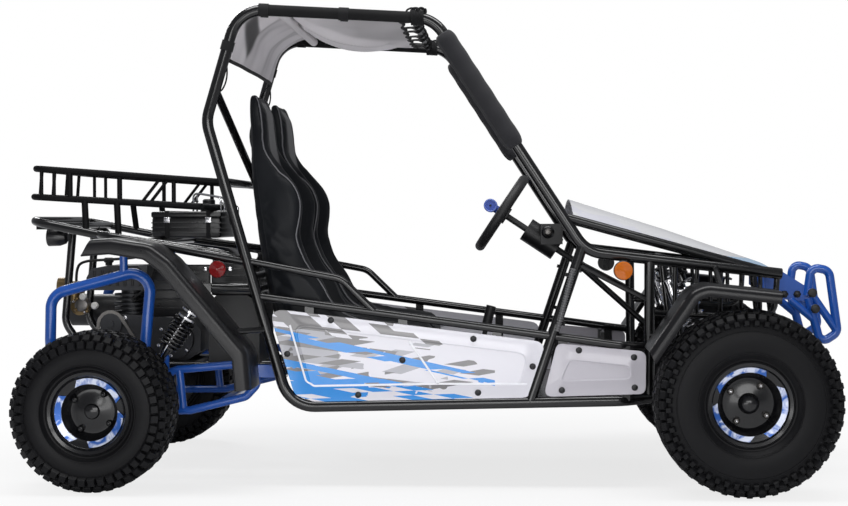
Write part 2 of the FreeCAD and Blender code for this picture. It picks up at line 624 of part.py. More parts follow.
# Seats: bucket shells with bolsters; the tread of the bucket is sunk between them
seat_out = [
    (380, 1050), (392, 1064), (414, 1062), (420, 908), (482, 857), (524, 810), (541, 768), (538, 726), (521, 679),
    (534, 643), (594, 559), (640, 489), (720, 452), (860, 436), (892, 418), (896, 330), (880, 276), (512, 276),
    (500, 330), (406, 640)]
seat_in = [
    (414, 1100), (408, 1010), (424, 880), (446, 760), (472, 600), (520, 470), (580, 402), (660, 380), (800, 396),
    (930, 402), (930, 1100)]


def seat(y_mid):
    """One bucket seat."""
    shell = slab(seat_out, y_mid - seat_width / 2, y_mid + seat_width / 2)
    hollow = slab(seat_in, y_mid - seat_width / 2 + bolster, y_mid + seat_width / 2 - bolster)
    return shell.cut(hollow).removeSplitter()


add("seats", both(seat(-seat_y)))
risers = []
for y in (-seat_y - 110, -seat_y + 110, seat_y - 110, seat_y + 110):
    risers.append(block(600.0, 860.0, y - 13, y + 13, 200.0, 276.0))
pan = nodes["floor_pan"]
riser_solids = []
for one in risers:
    pieces = one.cut(pan).Solids
    riser_solids.append(max(pieces, key=lambda s: s.BoundBox.ZMax))
add("brackets", riser_solids)

# Canopy: one sagging sheet between the roof tubes


def canopy_section(x, z, tilt, sag, half):
    """One cross section of the sheet, its face turned by tilt degrees towards the rear."""
    n = V(-math.sin(math.radians(tilt)), 0, math.cos(math.radians(tilt)))
    a = V(x, -half, z)
    b = V(x, half, z)
    m = V(x, 0, z) - n * sag
    low = Part.Arc(a, m, b).toShape()
    top = Part.Arc(a + n * 5, m + n * 5, b + n * 5).toShape()
    ends = [Part.LineSegment(low.Vertexes[i].Point, top.Vertexes[i].Point).toShape() for i in (0, 1)]
    return Part.Wire([low, ends[1], top, ends[0]])


half = cage_y - cage_od / 2
canopy = Part.makeLoft([
    canopy_section(roof_front_x - 61, roof_z(roof_front_x - 61) + 2, 0.0, 20.0, half),
    canopy_section(620.0, roof_z(620.0) + 2, 0.0, 40.0, half),
    canopy_section(roof_rear_x + 58, roof_z(roof_rear_x + 58) + 1, 5.0, 20.0, half),
    canopy_section(roof_rear_x + 12, roof_rear_z - 12, 35.0, 14.0, half),
    canopy_section(roof_rear_x - 12, roof_rear_z - 46, 65.0, 10.0, half),
    canopy_section(kink_x + 60, kink_z + 159, 74.0, 8.0, half)], True, True)
add("canopy", [canopy], "cage_right", "cage_left", "cage_crossbars")

# Foam pads on the screen pillars
pillar_top = (roof_front_x, -cage_y, roof_front_z)
pillar_low = (cowl_x, -cage_y, cowl_z)
pad = tube([on_line(pillar_top, pillar_low, 0.068), on_line(pillar_top, pillar_low, 0.536)], cage_od + 26)
add("pillar_pads", both(pad), "cage_right", "cage_left")

# Lamps
amber = Part.makeCylinder(26.0, 26.0, V(1394.0, -424.0, 578.0), V(0, 1, 0))
add("side_lamps", both(amber), "cage_right", "cage_left", "nose_tubes")
red = Part.makeCylinder(24.0, 24.0, V(315.0, -424.0, 582.0), V(0, 1, 0))
add("tail_lamps", both(red), "rear_frame", "mudguards")
rear_lamp = Part.makeCylinder(26.0, 58.0, V(-193.0, -240.0, 667.0), V(1, 0, 0))
add("rear_lamps", both(rear_lamp), "rear_frame")
red_arm = block(300.0, 330.0, -402.0, -384.0, 575.0, 625.0)
lamp_arm = block(-222.0, -180.0, -250.0, -230.0, 688.0, 706.0)
amber_arm = block(1384.0, 1404.0, -398.0, -393.0, 560.0, 618.0)
add("brackets", both(red_arm) + both(lamp_arm) + both(amber_arm), "tail_lamps", "rear_lamps", "rear_frame", "mudguards", "cage_right", "cage_left")

# Dash, pedals and gear lever
dash_z = 690.0
dash_x = pillar_x(dash_z)
dash = block(dash_x - 70.0, dash_x - 6.0, steer_y - 95.0, steer_y + 95.0, 640.0, 700.0)
axis = V(math.cos(math.radians(steer_tilt)), 0, -math.sin(math.radians(steer_tilt)))
hub = V(steer_hub_x, steer_y, steer_hub_z)
joint = hub + axis * 262.0
column_bore = Part.makeCylinder(19.0, 500.0, hub - axis * 50, axis)
dash = dash.fuse(Part.makeCylinder(36.0, 110.0, hub + axis * 88, axis)).cut(column_bore).removeSplitter()
add("dash", [dash], "cage_crossbars")
pedals = []
for y in (steer_y - 70, steer_y + 70):
    pedals.append(block(1362.0, 1372.0, y - 25, y + 25, 300.0, 380.0).fuse(block(1360.0, 1376.0, y - 6, y + 6, 236.0, 310.0)).removeSplitter())
add("controls", pedals, "floor_pan", "cage_crossbars")
lever = tube([(1010.0, 0.0, 228.0), (1020.0, 0.0, 380.0), (1035.0, 0.0, 440.0)], 14.0, 60.0)
grip = Part.makeCylinder(14.0, 55.0, V(1027.0, 0, 410.0), V(15, 0, 60))
add("controls", [lever.fuse(grip).removeSplitter()], "floor_pan", "cage_crossbars")

# Steering wheel with its column, lower shaft, rack with tie rods
rim = Part.makeTorus(steer_wheel_r - grip_r, grip_r, hub, axis)
spokes = []
for a in (90, 210, 330):
    d = V(0, math.cos(math.radians(a)), 0) + axis.cross(V(0, 1, 0)) * math.sin(math.radians(a))
    spokes.append(Part.makeCylinder(7.0, steer_wheel_r - grip_r, hub, d))
boss = Part.makeCylinder(26.0, 30.0, hub - axis * 10, axis)
column = Part.makeCylinder(9.5, 262.0 - 6, hub, axis)
ball = Part.makeSphere(12.0, joint)
wheel = rim.multiFuse(spokes + [boss, column, ball]).removeSplitter()
add("steering_wheel", [wheel])
pad_centre = hub - axis * 40
crash_pad = Part.makeCylinder(20.0, 150.0, pad_centre - V(0, 75, 0), V(0, 1, 0))
pad_stem = Part.makeCylinder(12.0, 40.0, pad_centre, axis)
add("wheel_pad", [crash_pad.fuse(pad_stem).removeSplitter()], "steering_wheel")

pinion = V(rack_x - 22, 60.0, rack_z + 46)
shaft_dir = (pinion - joint).normalize()
shaft_len = (pinion - joint).Length
shaft = Part.makeCylinder(9.0, shaft_len - 16, joint + shaft_dir * 16, shaft_dir)
yoke = Part.makeCylinder(16.0, 22.0, joint + shaft_dir * 14, shaft_dir)
add("steering_shaft", [shaft.fuse(yoke).removeSplitter()])

rack_half = kingpin_y - 18.0
rod = Part.makeCylinder(rack_od / 2, 2 * rack_half, V(rack_x, -rack_half, rack_z), V(0, 1, 0))
eyes = [Part.makeCylinder(11.0, 14.0, V(rack_x, s * rack_half, rack_z - 7), V(0, 0, 1)) for s in (-1, 1)]
add("tie_rods", [rod.multiFuse(eyes).removeSplitter()])
house = Part.makeCylinder(17.0, 200.0, V(rack_x, -100.0, rack_z), V(0, 1, 0))
house = house.cut(Part.makeCylinder(rack_od / 2 + run_clear, 210.0, V(rack_x, -105.0, rack_z), V(0, 1, 0)))
feet = [block(rack_x - 20, rack_x + 20, s * 80.0 - 10, s * 80.0 + 10, inner_rail_z - 9, rack_z - 16.5) for s in (-1, 1)]
base = block(rack_x - 25, rack_x + 25, -inner_rail_y, inner_rail_y, inner_rail_z - 9, inner_rail_z - 3)
house = house.multiFuse(feet + [base]).removeSplitter()
house = house.cut(Part.makeCylinder(12.0, 80.0, pinion - shaft_dir * 20, shaft_dir))
house = house.cut(Part.makeCylinder(rack_od / 2 + run_clear, 210.0, V(rack_x, -105.0, rack_z), V(0, 1, 0)))
add("rack_housing", [house], "front_frame")

# Knuckles
front_axle_z = front_tyre_od / 2
king = Part.makeCylinder(15.0, 62.0, V(wheelbase, -kingpin_y, 211.0), V(0, 0, 1))
spindle = Part.makeCylinder(10.0, 78.0, V(wheelbase, -kingpin_y, front_axle_z), V(0, -1, 0))
arm = block(rack_x - 11, wheelbase, -rack_half - 10, -rack_half + 10, rack_z + 7 + open_clear, rack_z + 17 + open_clear)
knuckle = king.multiFuse([spindle, arm.fuse(block(wheelbase - 12, wheelbase + 12, -kingpin_y, -rack_half + 10, rack_z + 7 + open_clear, rack_z + 17 + open_clear))]).removeSplitter()
add("knuckle_right", [knuckle])
add("knuckle_left", [mirrored(knuckle)])


# Wheels


def tyre(od, width, centre, lugs):
    """One tyre with a row of lugs on each shoulder, the rows set half a pitch apart."""
    step = math.pi / lugs
    grow = 1 / math.cos(step / 2)
    r = od / 2
    w = width / 2
    base = r - lug_height
    wall = [(rim_seat_r, w - 26), (rim_seat_r + 13, w - 12), ((rim_seat_r + r) / 2, w - 2), (r - 34, w - 9)]
    plain = [(base, w - 26), (base, 5)]
    raised = [(r - 20, w), (r, w - 24), (r, 5), (base, 5)]

    def at(point, side, i):
        a = (i - 0.5) * step - math.pi / 2
        return centre + V(point[0] * grow * math.cos(a), side * point[1], point[0] * grow * math.sin(a))

    faces = []
    for i in range(2 * lugs):
        for side, turn in ((-1, 0), (1, 1)):
            line = wall + (raised if (i + turn) % 2 == 0 else plain)
            faces += [[at(p, side, i), at(q, side, i), at(q, side, i + 1), at(p, side, i + 1)] for p, q in zip(line, line[1:])]
            faces.append([at(p, side, i) for p in wall[-1:] + raised + plain[:1]])
        faces += [[at(p, -1, i), at(p, 1, i), at(p, 1, i + 1), at(p, -1, i + 1)] for p in (wall[0], plain[1])]
    return closed(faces)


def rim(width, centre, side, hub_hole):
    """A pressed steel rim: barrel, flanges and a dished disc. side is -1 on the right."""
    w = width / 2 - 24
    outer = rim_seat_r
    outline = [(outer, -w), (outer, w), (outer - rim_wall, w), (outer - rim_wall, -w)]
    barrel = lathe(outline, centre)
    disc = Part.makeCylinder(outer - rim_wall, 5.0, centre + V(0, side * (w - 52), 0), V(0, side, 0))
    disc = disc.cut(Part.makeCylinder(hub_hole, 20.0, centre + V(0, side * (w - 58), 0), V(0, side, 0)))
    return barrel.fuse(disc).removeSplitter()


for name, side in (("right", -1), ("left", 1)):
    c = V(wheelbase, side * front_track / 2, front_axle_z)
    add("tyre_front_" + name, [tyre(front_tyre_od, front_tyre_width, c, front_lugs)])
    wheel_rim = rim(front_tyre_width, c, side, 12.0)
    hub_tube = Part.makeCylinder(24.0, 62.0, V(wheelbase, side * (kingpin_y + 22), front_axle_z), V(0, side, 0))
    hub_tube = hub_tube.cut(Part.makeCylinder(10.05, 100.0, V(wheelbase, side * kingpin_y, front_axle_z), V(0, side, 0)))
    add("rim_front_" + name, [wheel_rim.fuse(hub_tube).removeSplitter()])
rear_c = V(0, -rear_track / 2, axle_z)
add("tyres_rear", both(tyre(rear_tyre_od, rear_tyre_width, rear_c, rear_lugs)))
add("rims_rear", both(rim(rear_tyre_width, rear_c, -1, 15.0)))

axle = Part.makeCylinder(15.0, rear_track + 20, V(0, -rear_track / 2 - 10, axle_z), V(0, 1, 0))
hub_face = rear_track / 2 + rear_tyre_width / 2 - 24 - 52
hubs = [Part.makeCylinder(40.0, 30.0, V(0, s * (hub_face - 30), axle_z), V(0, s, 0)) for s in (-1, 1)]
teeth = []
for i in range(56):
    a = i * math.pi / 28
    r = sprocket_r - (i % 2) * 8.0
    teeth.append((r * math.cos(a), axle_z + r * math.sin(a)))
sprocket = slab(teeth, chain_y - 2.5, chain_y + 2.5)
disc = Part.makeCylinder(90.0, 4.0, V(0, 90.0, axle_z), V(0, 1, 0))
add("rear_axle", [weld([axle, sprocket, disc] + hubs)], "rims_rear")

# Chain: links round the sprocket and up to the engine


def chain(low, low_r, high, high_r):
    """A closed run of wide and narrow links round two centres in X and Z."""
    base = math.atan2(high[1] - low[1], high[0] - low[0])
    lean = math.acos((low_r - high_r) / math.dist(low, high))
    stations = []
    for centre, r, start, sweep, count in (
            (low, low_r, base + lean, 2 * math.pi - 2 * lean, 16), (high, high_r, base - lean, 2 * lean, 6)):
        for i in range(count + 1):
            a = start + sweep * i / count
            stations.append((centre[0], centre[1], r, a))
    bend = [(x + r * math.cos(a), z + r * math.sin(a), a) for x, z, r, a in stations]
    line = bend[:17] + [on_line(bend[16], bend[17], t / 9) for t in range(1, 9)] + bend[17:]
    line += [on_line(bend[-1], bend[0][:2] + (bend[-1][2],), t / 9) for t in range(1, 9)]
    line = [(x, z, bend[16][2] if 16 < i < 25 else a) for i, (x, z, a) in enumerate(line)]

    def at(i, out, half):
        x, z, a = line[i % len(line)]
        return V(x + out * chain_thick / 2 * math.cos(a), chain_y + half, z + out * chain_thick / 2 * math.sin(a))

    faces = []
    for i in range(len(line)):
        half = chain_half if i % 2 == 0 else chain_half - 2.5
        for out in (-1, 1):
            faces.append([at(i, out, -half), at(i, out, half), at(i + 1, out, half), at(i + 1, out, -half)])
        for side in (-1, 1):
            faces.append([at(i, -1, side * half), at(i, 1, side * half), at(i + 1, 1, side * half), at(i + 1, -1, side * half)])
            faces.append([at(i, out, side * h) for out, h in (
                (-1, chain_half), (1, chain_half), (1, chain_half - 2.5), (-1, chain_half - 2.5))])
    return closed(faces)


drive_chain = chain((0.0, axle_z), sprocket_r + chain_gap + chain_thick / 2, (drive_x, drive_z), drive_r + chain_thick / 2)
add("chain", [drive_chain], "engine")

# Centre the whole on X and write one file a node
boxes = [s.BoundBox for s in nodes.values()]
shift = -(min(b.XMin for b in boxes) + max(b.XMax for b in boxes)) / 2
for name, shape in nodes.items():
    moved = shape.copy()
    moved.translate(V(shift, 0, 0))
    out = moved.Solids[0] if len(moved.Solids) == 1 else Part.makeCompound(moved.Solids)
    out.exportStep("parts/" + name + ".step")
print("shift of the rear axle in X:", round(shift, 3))
print("nodes:", len(nodes), "height:", round(max(b.ZMax for b in boxes), 1), "lowest:", round(min(b.ZMin for b in boxes), 3),
      "width:", round(max(b.YMax for b in boxes) * 2, 1), "length:", round(max(b.XMax for b in boxes) - min(b.XMin for b in boxes), 1))
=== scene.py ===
import bmesh
import bpy
import math
from mathutils import Matrix, Vector, noise
from mathutils.bvhtree import BVHTree


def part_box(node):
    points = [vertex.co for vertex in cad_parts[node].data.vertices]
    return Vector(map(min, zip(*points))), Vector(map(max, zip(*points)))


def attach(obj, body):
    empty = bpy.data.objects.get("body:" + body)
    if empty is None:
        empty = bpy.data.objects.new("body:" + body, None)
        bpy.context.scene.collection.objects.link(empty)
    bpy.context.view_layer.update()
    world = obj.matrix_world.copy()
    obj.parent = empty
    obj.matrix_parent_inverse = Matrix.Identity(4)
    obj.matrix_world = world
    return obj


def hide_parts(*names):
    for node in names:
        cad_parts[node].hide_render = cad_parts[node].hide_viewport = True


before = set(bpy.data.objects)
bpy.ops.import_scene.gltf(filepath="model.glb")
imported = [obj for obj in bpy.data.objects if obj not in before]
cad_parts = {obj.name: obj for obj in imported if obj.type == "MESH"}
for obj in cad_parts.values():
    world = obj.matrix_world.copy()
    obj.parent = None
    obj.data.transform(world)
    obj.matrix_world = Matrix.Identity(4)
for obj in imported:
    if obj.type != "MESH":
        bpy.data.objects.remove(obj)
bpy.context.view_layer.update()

# Camera: beside the right of the vehicle, just ahead of the doorway, at the height of a
# seated driver's chest, with a long lens.
low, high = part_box("rear_axle")
axle_x = (low.x + high.x) / 2


def at(x, y, z):
    """A point in mm from the rear axle, the middle line and the ground, in the scene's metres."""
    return Vector((axle_x + x / 1000, y / 1000, z / 1000))


def linked(name, data):
    """A new object of the scene."""
    thing = bpy.data.objects.new(name, data)
    bpy.context.scene.collection.objects.link(thing)
    return thing


eye = linked("eye", bpy.data.cameras.new("eye"))
eye.data.lens = 70.34
eye.data.sensor_width = 36.0
eye.location = at(1101.5, -4800.1, 714.7)
turned_left, tipped_down, rolled = 0.0533, 0.0204, -0.002
eye.rotation_euler = (Matrix.Rotation(turned_left, 3, "Z") @ Matrix.Rotation(math.pi / 2 - tipped_down, 3, "X")
                      @ Matrix.Rotation(rolled, 3, "Z")).to_euler()
bpy.context.scene.camera = eye
bpy.context.scene.view_settings.view_transform = "Standard"


# Studio: a pale floor that fades into the white backdrop, one wide soft lamp overhead, a softer
# one from the camera's side, one behind for the tubes' bright edges and a weak one low down.
def feed(made, into):
    """Give a node's inputs values or the outputs of other nodes."""
    for key, value in into.items():
        if isinstance(value, bpy.types.NodeSocket):
            made.id_data.links.new(value, made.inputs[key])
        else:
            made.inputs[key].default_value = value
    return made


def node(tree, kind, into=None, **settings):
    """A new node of a shader or geometry tree, with its settings and inputs."""
    made = tree.nodes.new(kind if "Node" in kind else "ShaderNode" + kind)
    for key, value in settings.items():
        setattr(made, key, value)
    return feed(made, into or {})


def maths(tree, op, *values):
    """One sum in a node tree; the values are sockets or numbers."""
    return node(tree, "Math", dict(enumerate(values)), operation=op).outputs[0]


world = bpy.data.worlds.new("studio")
bpy.context.scene.world = world
world.use_nodes = True
tree = world.node_tree
sky = feed(tree.nodes["Background"], {"Color": (0.93, 0.95, 1.0, 1), "Strength": 0.24})
white = node(tree, "Background", {"Color": (1, 1, 1, 1)})
ray = node(tree, "LightPath").outputs
either = maths(tree, "MAXIMUM", ray["Is Camera Ray"], ray["Is Transmission Ray"])
blend = node(tree, "MixShader", {0: either, 1: sky.outputs[0], 2: white.outputs[0]})
feed(tree.nodes["World Output"], {"Surface": blend.outputs[0]})

for name, place, turn, size, power in (
        ("overhead", (0.1, -0.7, 3.4), (0.2, 0, 0), (3.6, 0.9), 82),
        ("beside", (0.7, -4.9, 1.7), (1.27, 0, 0.14), (3.4, 1.1), 61),
        ("behind", (-1.9, 3.3, 2.6), (-0.95, 0, -0.5), (2.6, 0.8), 60),
        ("low", (-0.6, -2.7, 0.3), (2.12, 0, 0.08), (2.0, 0.5), 12)):
    lamp = linked(name, bpy.data.lights.new(name, "AREA"))
    lamp.data.shape = "RECTANGLE"
    lamp.data.size, lamp.data.size_y = size
    lamp.data.energy = power
    lamp.location = place
    lamp.rotation_euler = turn
    lamp.visible_camera = False

floor_mesh = bpy.data.meshes.new("floor")
floor_mesh.from_pydata([(-30, -30, 0), (30, -30, 0), (30, 30, 0), (-30, 30, 0)], [], [(0, 1, 2, 3)])
floor = linked("floor", floor_mesh)
pale = bpy.data.materials.new("pale_floor")
pale.use_nodes = True
tree = pale.node_tree
matt = feed(tree.nodes["Principled BSDF"], {"Base Color": (0.86, 0.86, 0.87, 1), "Roughness": 0.9})
glow = node(tree, "Emission")
where = node(tree, "TexCoord").outputs["Object"]
far = node(tree, "VectorMath", {0: where}, operation="LENGTH").outputs["Value"]
fade = node(tree, "MapRange", {"From Min": 0.5, "From Max": 2.2, "To Min": 0.76, "Value": far},
            interpolation_type="SMOOTHSTEP")
only = maths(tree, "MULTIPLY", fade.outputs[0], node(tree, "LightPath").outputs["Is Camera Ray"])
blend = node(tree, "MixShader", {0: only, 1: matt.outputs[0], 2: glow.outputs[0]})
feed(tree.nodes["Material Output"], {"Surface": blend.outputs[0]})
floor_mesh.materials.append(pale)


# Tube frame: steel tube, bent and welded, in gloss black powder coat. The rear guard, swing
# arm and front guard are the same tube in gloss blue. The floor pan is black sheet.
def finish(name, colour, rough=0.35, metal=0.0, grain=500.0, bump=0.15, depth=0.0002, shift=0.25, coat=0.0,
           sheen=0.0, specular=0.5):
    """A surface with fine grain, uneven gloss and slight change of colour."""
    made = bpy.data.materials.new(name)
    made.use_nodes = True
    tree = made.node_tree
    where = node(tree, "TexCoord").outputs["Object"]
    broad = node(tree, "TexNoise", {"Scale": 7.0, "Detail": 5.0, "Vector": where}).outputs[0]
    fine = node(tree, "TexNoise", {"Scale": grain, "Detail": 3.0, "Vector": where}).outputs[0]
    darker, lighter = [tuple(min(c * share, 1) for c in colour) + (1,) for share in (1 - shift, 1 + shift)]
    tint = node(tree, "Mix", {0: broad, 6: darker, 7: lighter}, data_type="RGBA")
    gloss = node(tree, "MapRange", {"To Min": rough * 0.75, "To Max": min(rough * 1.3, 1),
                                    "Value": maths(tree, "MULTIPLY_ADD", fine, 0.4, broad)})
    relief = node(tree, "Bump", {"Strength": bump, "Distance": depth, "Height": fine})
    feed(tree.nodes["Principled BSDF"], {
        "Base Color": tint.outputs[2], "Roughness": gloss.outputs[0], "Normal": relief.outputs[0],
        "Metallic": metal, "Coat Weight": coat, "Coat Roughness": 0.1, "Sheen Weight": sheen,
        "Specular IOR Level": specular})
    return made


def dress(material, *names):
    """Give CAD nodes a material."""
    for name in names:
        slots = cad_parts[name].data.materials
        slots.clear()
        slots.append(material)


frame_black = finish("frame_black", (0.005, 0.005, 0.0055), rough=0.18, coat=0.35, bump=0.06, specular=0.42)
frame_blue = finish("frame_blue", (0.008, 0.085, 0.42), rough=0.28, coat=0.5, bump=0.1, shift=0.12)
rack_black = finish("rack_black", (0.004, 0.004, 0.0045), rough=0.5, bump=0.1, specular=0.13)
dress(frame_black, "cage_right", "cage_left", "cage_crossbars", "hoop_brace", "side_posts", "side_rails",
      "hip_rails", "nose_tubes", "front_frame", "nose_slats", "rear_frame", "floor_pan", "brackets",
      "shock_arms", "knuckle_right", "knuckle_left", "steering_shaft", "front_arms")
dress(frame_blue, "rear_guard", "swing_arm", "front_bumper")
dress(rack_black, "rack_rails", "rack_bars")

# Castings and bright parts: the crankcase and its covers are dark cast alloy, the carburettor is
# passivated zinc with a bronze cast, the axle, rods and chain are steel.
cast_metal = finish("cast_metal", (0.055, 0.056, 0.06), rough=0.42, metal=0.75, grain=240.0, bump=0.5,
                    depth=0.0004, shift=0.45)
zinc_bronze = finish("zinc_bronze", (0.2, 0.14, 0.066), rough=0.3, metal=0.8, grain=120.0, bump=0.5,
                     depth=0.0006, shift=0.6)
bright_steel = finish("bright_steel", (0.62, 0.62, 0.64), rough=0.22, metal=1.0, grain=380.0, bump=0.1)
oiled_steel = finish("oiled_steel", (0.2, 0.19, 0.18), rough=0.35, metal=0.95, grain=300.0, bump=0.3, shift=0.4)
black_plastic = finish("black_plastic", (0.009, 0.009, 0.01), rough=0.4, grain=900.0, bump=0.3)
gloss_plastic = finish("gloss_plastic", (0.008, 0.008, 0.009), rough=0.25, grain=700.0, bump=0.2)
guard_plastic = finish("guard_plastic", (0.007, 0.0068, 0.008), rough=0.26, grain=820.0, bump=0.3,
                       depth=0.0003, shift=0.3, specular=0.32)
dress(cast_metal, "engine", "rack_housing")
dress(zinc_bronze, "carburettor")
dress(bright_steel, "tie_rods")
dress(oiled_steel, "rear_axle", "chain")
dress(black_plastic, "dash", "controls", "exhaust", "air_box")
dress(gloss_plastic, "tank")
dress(guard_plastic, "mudguards")


# Screws and bolts: pressed pan heads and domed caps in black zinc, used all over the vehicle.
def meshed(form, name, material=None):
    """The mesh of an edit form, in its material."""
    mesh = bpy.data.meshes.new(name)
    form.to_mesh(mesh)
    form.free()
    if material:
        mesh.materials.append(material)
    return mesh


def bridge(form, loops):
    """Faces between each loop of vertices and the next; a loop of one vertex is a tip."""
    for one, two in zip(loops, loops[1:]):
        for i in range(max(len(one), len(two))):
            j = i + 1
            corners = one[i % len(one)], one[j % len(one)], two[j % len(two)], two[i % len(two)]
            form.faces.new(tuple(dict.fromkeys(corners)))


def hull(name, rings, material=None, around=False):
    """A closed mesh over rings of points, capped at both ends or joined last to first."""
    form = bmesh.new()
    loops = [[form.verts.new(p) for p in points] for points in rings]
    bridge(form, loops + loops[:1] if around else loops)
    for end in () if around else (loops[0], loops[-1]):
        if len(end) > 1:
            form.faces.new(end)
    bmesh.ops.recalc_face_normals(form, faces=form.faces)
    return meshed(form, name, material)


def ring(centre, e, g, r, sides):
    """Points round a centre, in the plane of the directions e and g."""
    turns = [2 * math.pi * k / sides for k in range(sides)]
    return [centre + (e * math.cos(q) + g * math.sin(q)) * r for q in turns]


def lathed(name, profile, sides=28, tip=None):
    """A solid turned about Z from (radius, height) pairs, with a flat top or a tip."""
    x, y, z = Matrix.Identity(3)
    rings = [ring(z * tall, x, y, r, sides) for r, tall in profile]
    return hull(name, rings + ([[z * tip]] if tip else []))


def domed(name, r, tall, sides=20):
    """A round head with a rounded top, standing on Z=0."""
    profile = [(r * q, tall * z) for q, z in ((1.0, -0.4), (1.0, 0.35), (0.86, 0.72), (0.55, 0.94))]
    return lathed(name, profile, sides, tall)


def headed(mesh, place, toward, material):
    """The head mesh put at a place, its top towards a direction."""
    copy = mesh.copy()
    copy.transform(Vector((0, 0, 1)).rotation_difference(Vector(toward)).to_matrix().to_4x4())
    copy.transform(Matrix.Translation(Vector(place)))
    copy.materials.clear()
    copy.materials.append(material)
    return copy


def heads(mesh, spots, toward, material):
    """The head mesh at several spots of the vehicle, in mm."""
    return [headed(mesh, at(*spot), toward, material) for spot in spots]


def joined(name, meshes, material, smooth=0.6, body="chassis"):
    """One piece from several meshes, kept at the origin and fixed to its body."""
    form = bmesh.new()
    slots = []
    for mesh in meshes:
        first = len(form.faces)
        form.from_mesh(mesh)
        form.faces.ensure_lookup_table()
        mats = list(mesh.materials) or [material]
        for face in form.faces[first:]:
            mat = mats[min(face.material_index, len(mats) - 1)]
            if mat not in slots:
                slots.append(mat)
            face.material_index = slots.index(mat)
            face.smooth = True
    data = meshed(form, name)
    for mat in slots:
        data.materials.append(mat)
    data.set_sharp_from_angle(angle=smooth)
    thing = linked(name, data)
    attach(thing, body)
    return thing


both = (("right", -1), ("left", 1))
screw_black = finish("screw_black", (0.02, 0.02, 0.022), rough=0.3, metal=0.6, grain=200.0, bump=0.2)
screw_head = domed("screw_head", 0.0085, 0.004)


# Side panels and bonnet: pressed steel in white enamel with a printed film of slanted broken
# checks, azure along the foot and grey above, thinning out towards the front.
def printed(name, cell, start, reach, levels, base):
    """White enamel under a printed film of slanted checks. start and reach say where it thins out.

    Each level of checks has its height, lean, slope, lower and upper bound, seed, colour and thinning.
    """
    made = finish(name, base, rough=0.22, coat=0.35, bump=0.05, shift=0.03)
    tree = made.node_tree
    skin = tree.nodes["Principled BSDF"]
    ink = skin.inputs["Base Color"].links[0].from_socket
    where = node(tree, "TexCoord").outputs["Object"]
    parts = node(tree, "SeparateXYZ", {0: where}).outputs
    x = maths(tree, "SUBTRACT", parts["X"], start.x)
    z = maths(tree, "SUBTRACT", parts["Z"], start.z)
    wear_and_painted_shade = node(tree, "TexNoise", {"Scale": 14.0, "Vector": where}).outputs[0]
    for tall, lean, slope, low, high, seed, colour, thin in levels:
        ramp = maths(tree, "MULTIPLY_ADD", x, slope, z)
        row = maths(tree, "FLOOR", maths(tree, "DIVIDE", ramp, tall))
        leaning = maths(tree, "MULTIPLY_ADD", ramp, lean, x)
        column = maths(tree, "FLOOR", maths(tree, "DIVIDE", leaning, cell))
        pair = node(tree, "CombineXYZ", {"X": column, "Y": row, "Z": seed})
        dice = node(tree, "TexWhiteNoise", {"Vector": pair.outputs[0]})
        fade = maths(tree, "MULTIPLY_ADD", wear_and_painted_shade, 0.7, maths(tree, "MULTIPLY_ADD", x, thin / reach, 0.16))
        shown = maths(tree, "GREATER_THAN", dice.outputs[0], maths(tree, "SUBTRACT", fade, 0.3))
        for inside in (maths(tree, "GREATER_THAN", ramp, low), maths(tree, "LESS_THAN", ramp, high),
                       maths(tree, "LESS_THAN", x, reach)):
            shown = maths(tree, "MULTIPLY", shown, inside)
        ink = node(tree, "Mix", {0: shown, 6: ink, 7: colour + (1,)}, data_type="RGBA").outputs[2]
    feed(skin, {"Base Color": ink})
    return made


azure = (0.02, 0.27, 0.75)
ash = (0.2, 0.195, 0.2)
pale_ash = (0.42, 0.42, 0.46)
mist = (0.86, 0.86, 0.94)
pale_azure = (0.5, 0.72, 0.97)
side_print = printed("side_print", 0.052, at(455, 0, 232), 0.6, (
    (0.0125, 1.3, 0.118, 0.185, 0.27, 3.0, ash, 1.1), (0.016, -2.2, 0.118, 0.085, 0.2, 9.0, pale_ash, 0.9),
    (0.019, -3.4, 0.118, 0.07, 0.19, 5.0, ash, 0.85), (0.011, -3.6, 0.22, 0.172, 0.196, 11.0, azure, 0.35),
    (0.013, -4.2, 0.2, -0.02, 0.118, 17.0, azure, 0.3)), (0.77, 0.76, 0.82))
bonnet_print = printed("bonnet_print", 0.07, at(1290, 0, 570), 0.5, (
    (0.02, 1.0, 0.118, 0.0, 0.4, 2.0, mist, 1.0), (0.009, -1.5, 0.118, -0.06, 0.09, 12.0, pale_azure, -0.35)),
    (0.92, 0.92, 0.94))
plain_white = finish("plain_white", (0.54, 0.52, 0.57), rough=0.26, coat=0.3, bump=0.05, shift=0.04)
line_white = finish("line_white", (0.88, 0.88, 0.93), rough=0.25, coat=0.3, bump=0.05, shift=0.03)
dress(bonnet_print, "bonnet")


def rounded(points, radius, loop=True):
    """The outline with its corners rounded off; an open line keeps its two ends."""
    line = [] if loop else [Vector(points[0])]
    count = len(points)
    for i in range(0 if loop else 1, count if loop else count - 1):
        a, b, c = Vector(points[i - 1]), Vector(points[i]), Vector(points[(i + 1) % count])
        u, w = (a - b).normalized(), (c - b).normalized()
        back = min(radius / math.tan(u.angle(w) / 2), 0.45 * min((a - b).length, (c - b).length))
        p, q = b + u * back, b + w * back
        line += [p.lerp(b, t).lerp(b.lerp(q, t), t) for t in (0, 0.2, 0.4, 0.6, 0.8, 1)]
    return line if loop else line + [Vector(points[-1])]


def heading(line, k):
    """The direction of a line at its point k."""
    return (line[min(k + 1, len(line) - 1)] - line[max(k - 1, 0)]).normalized()


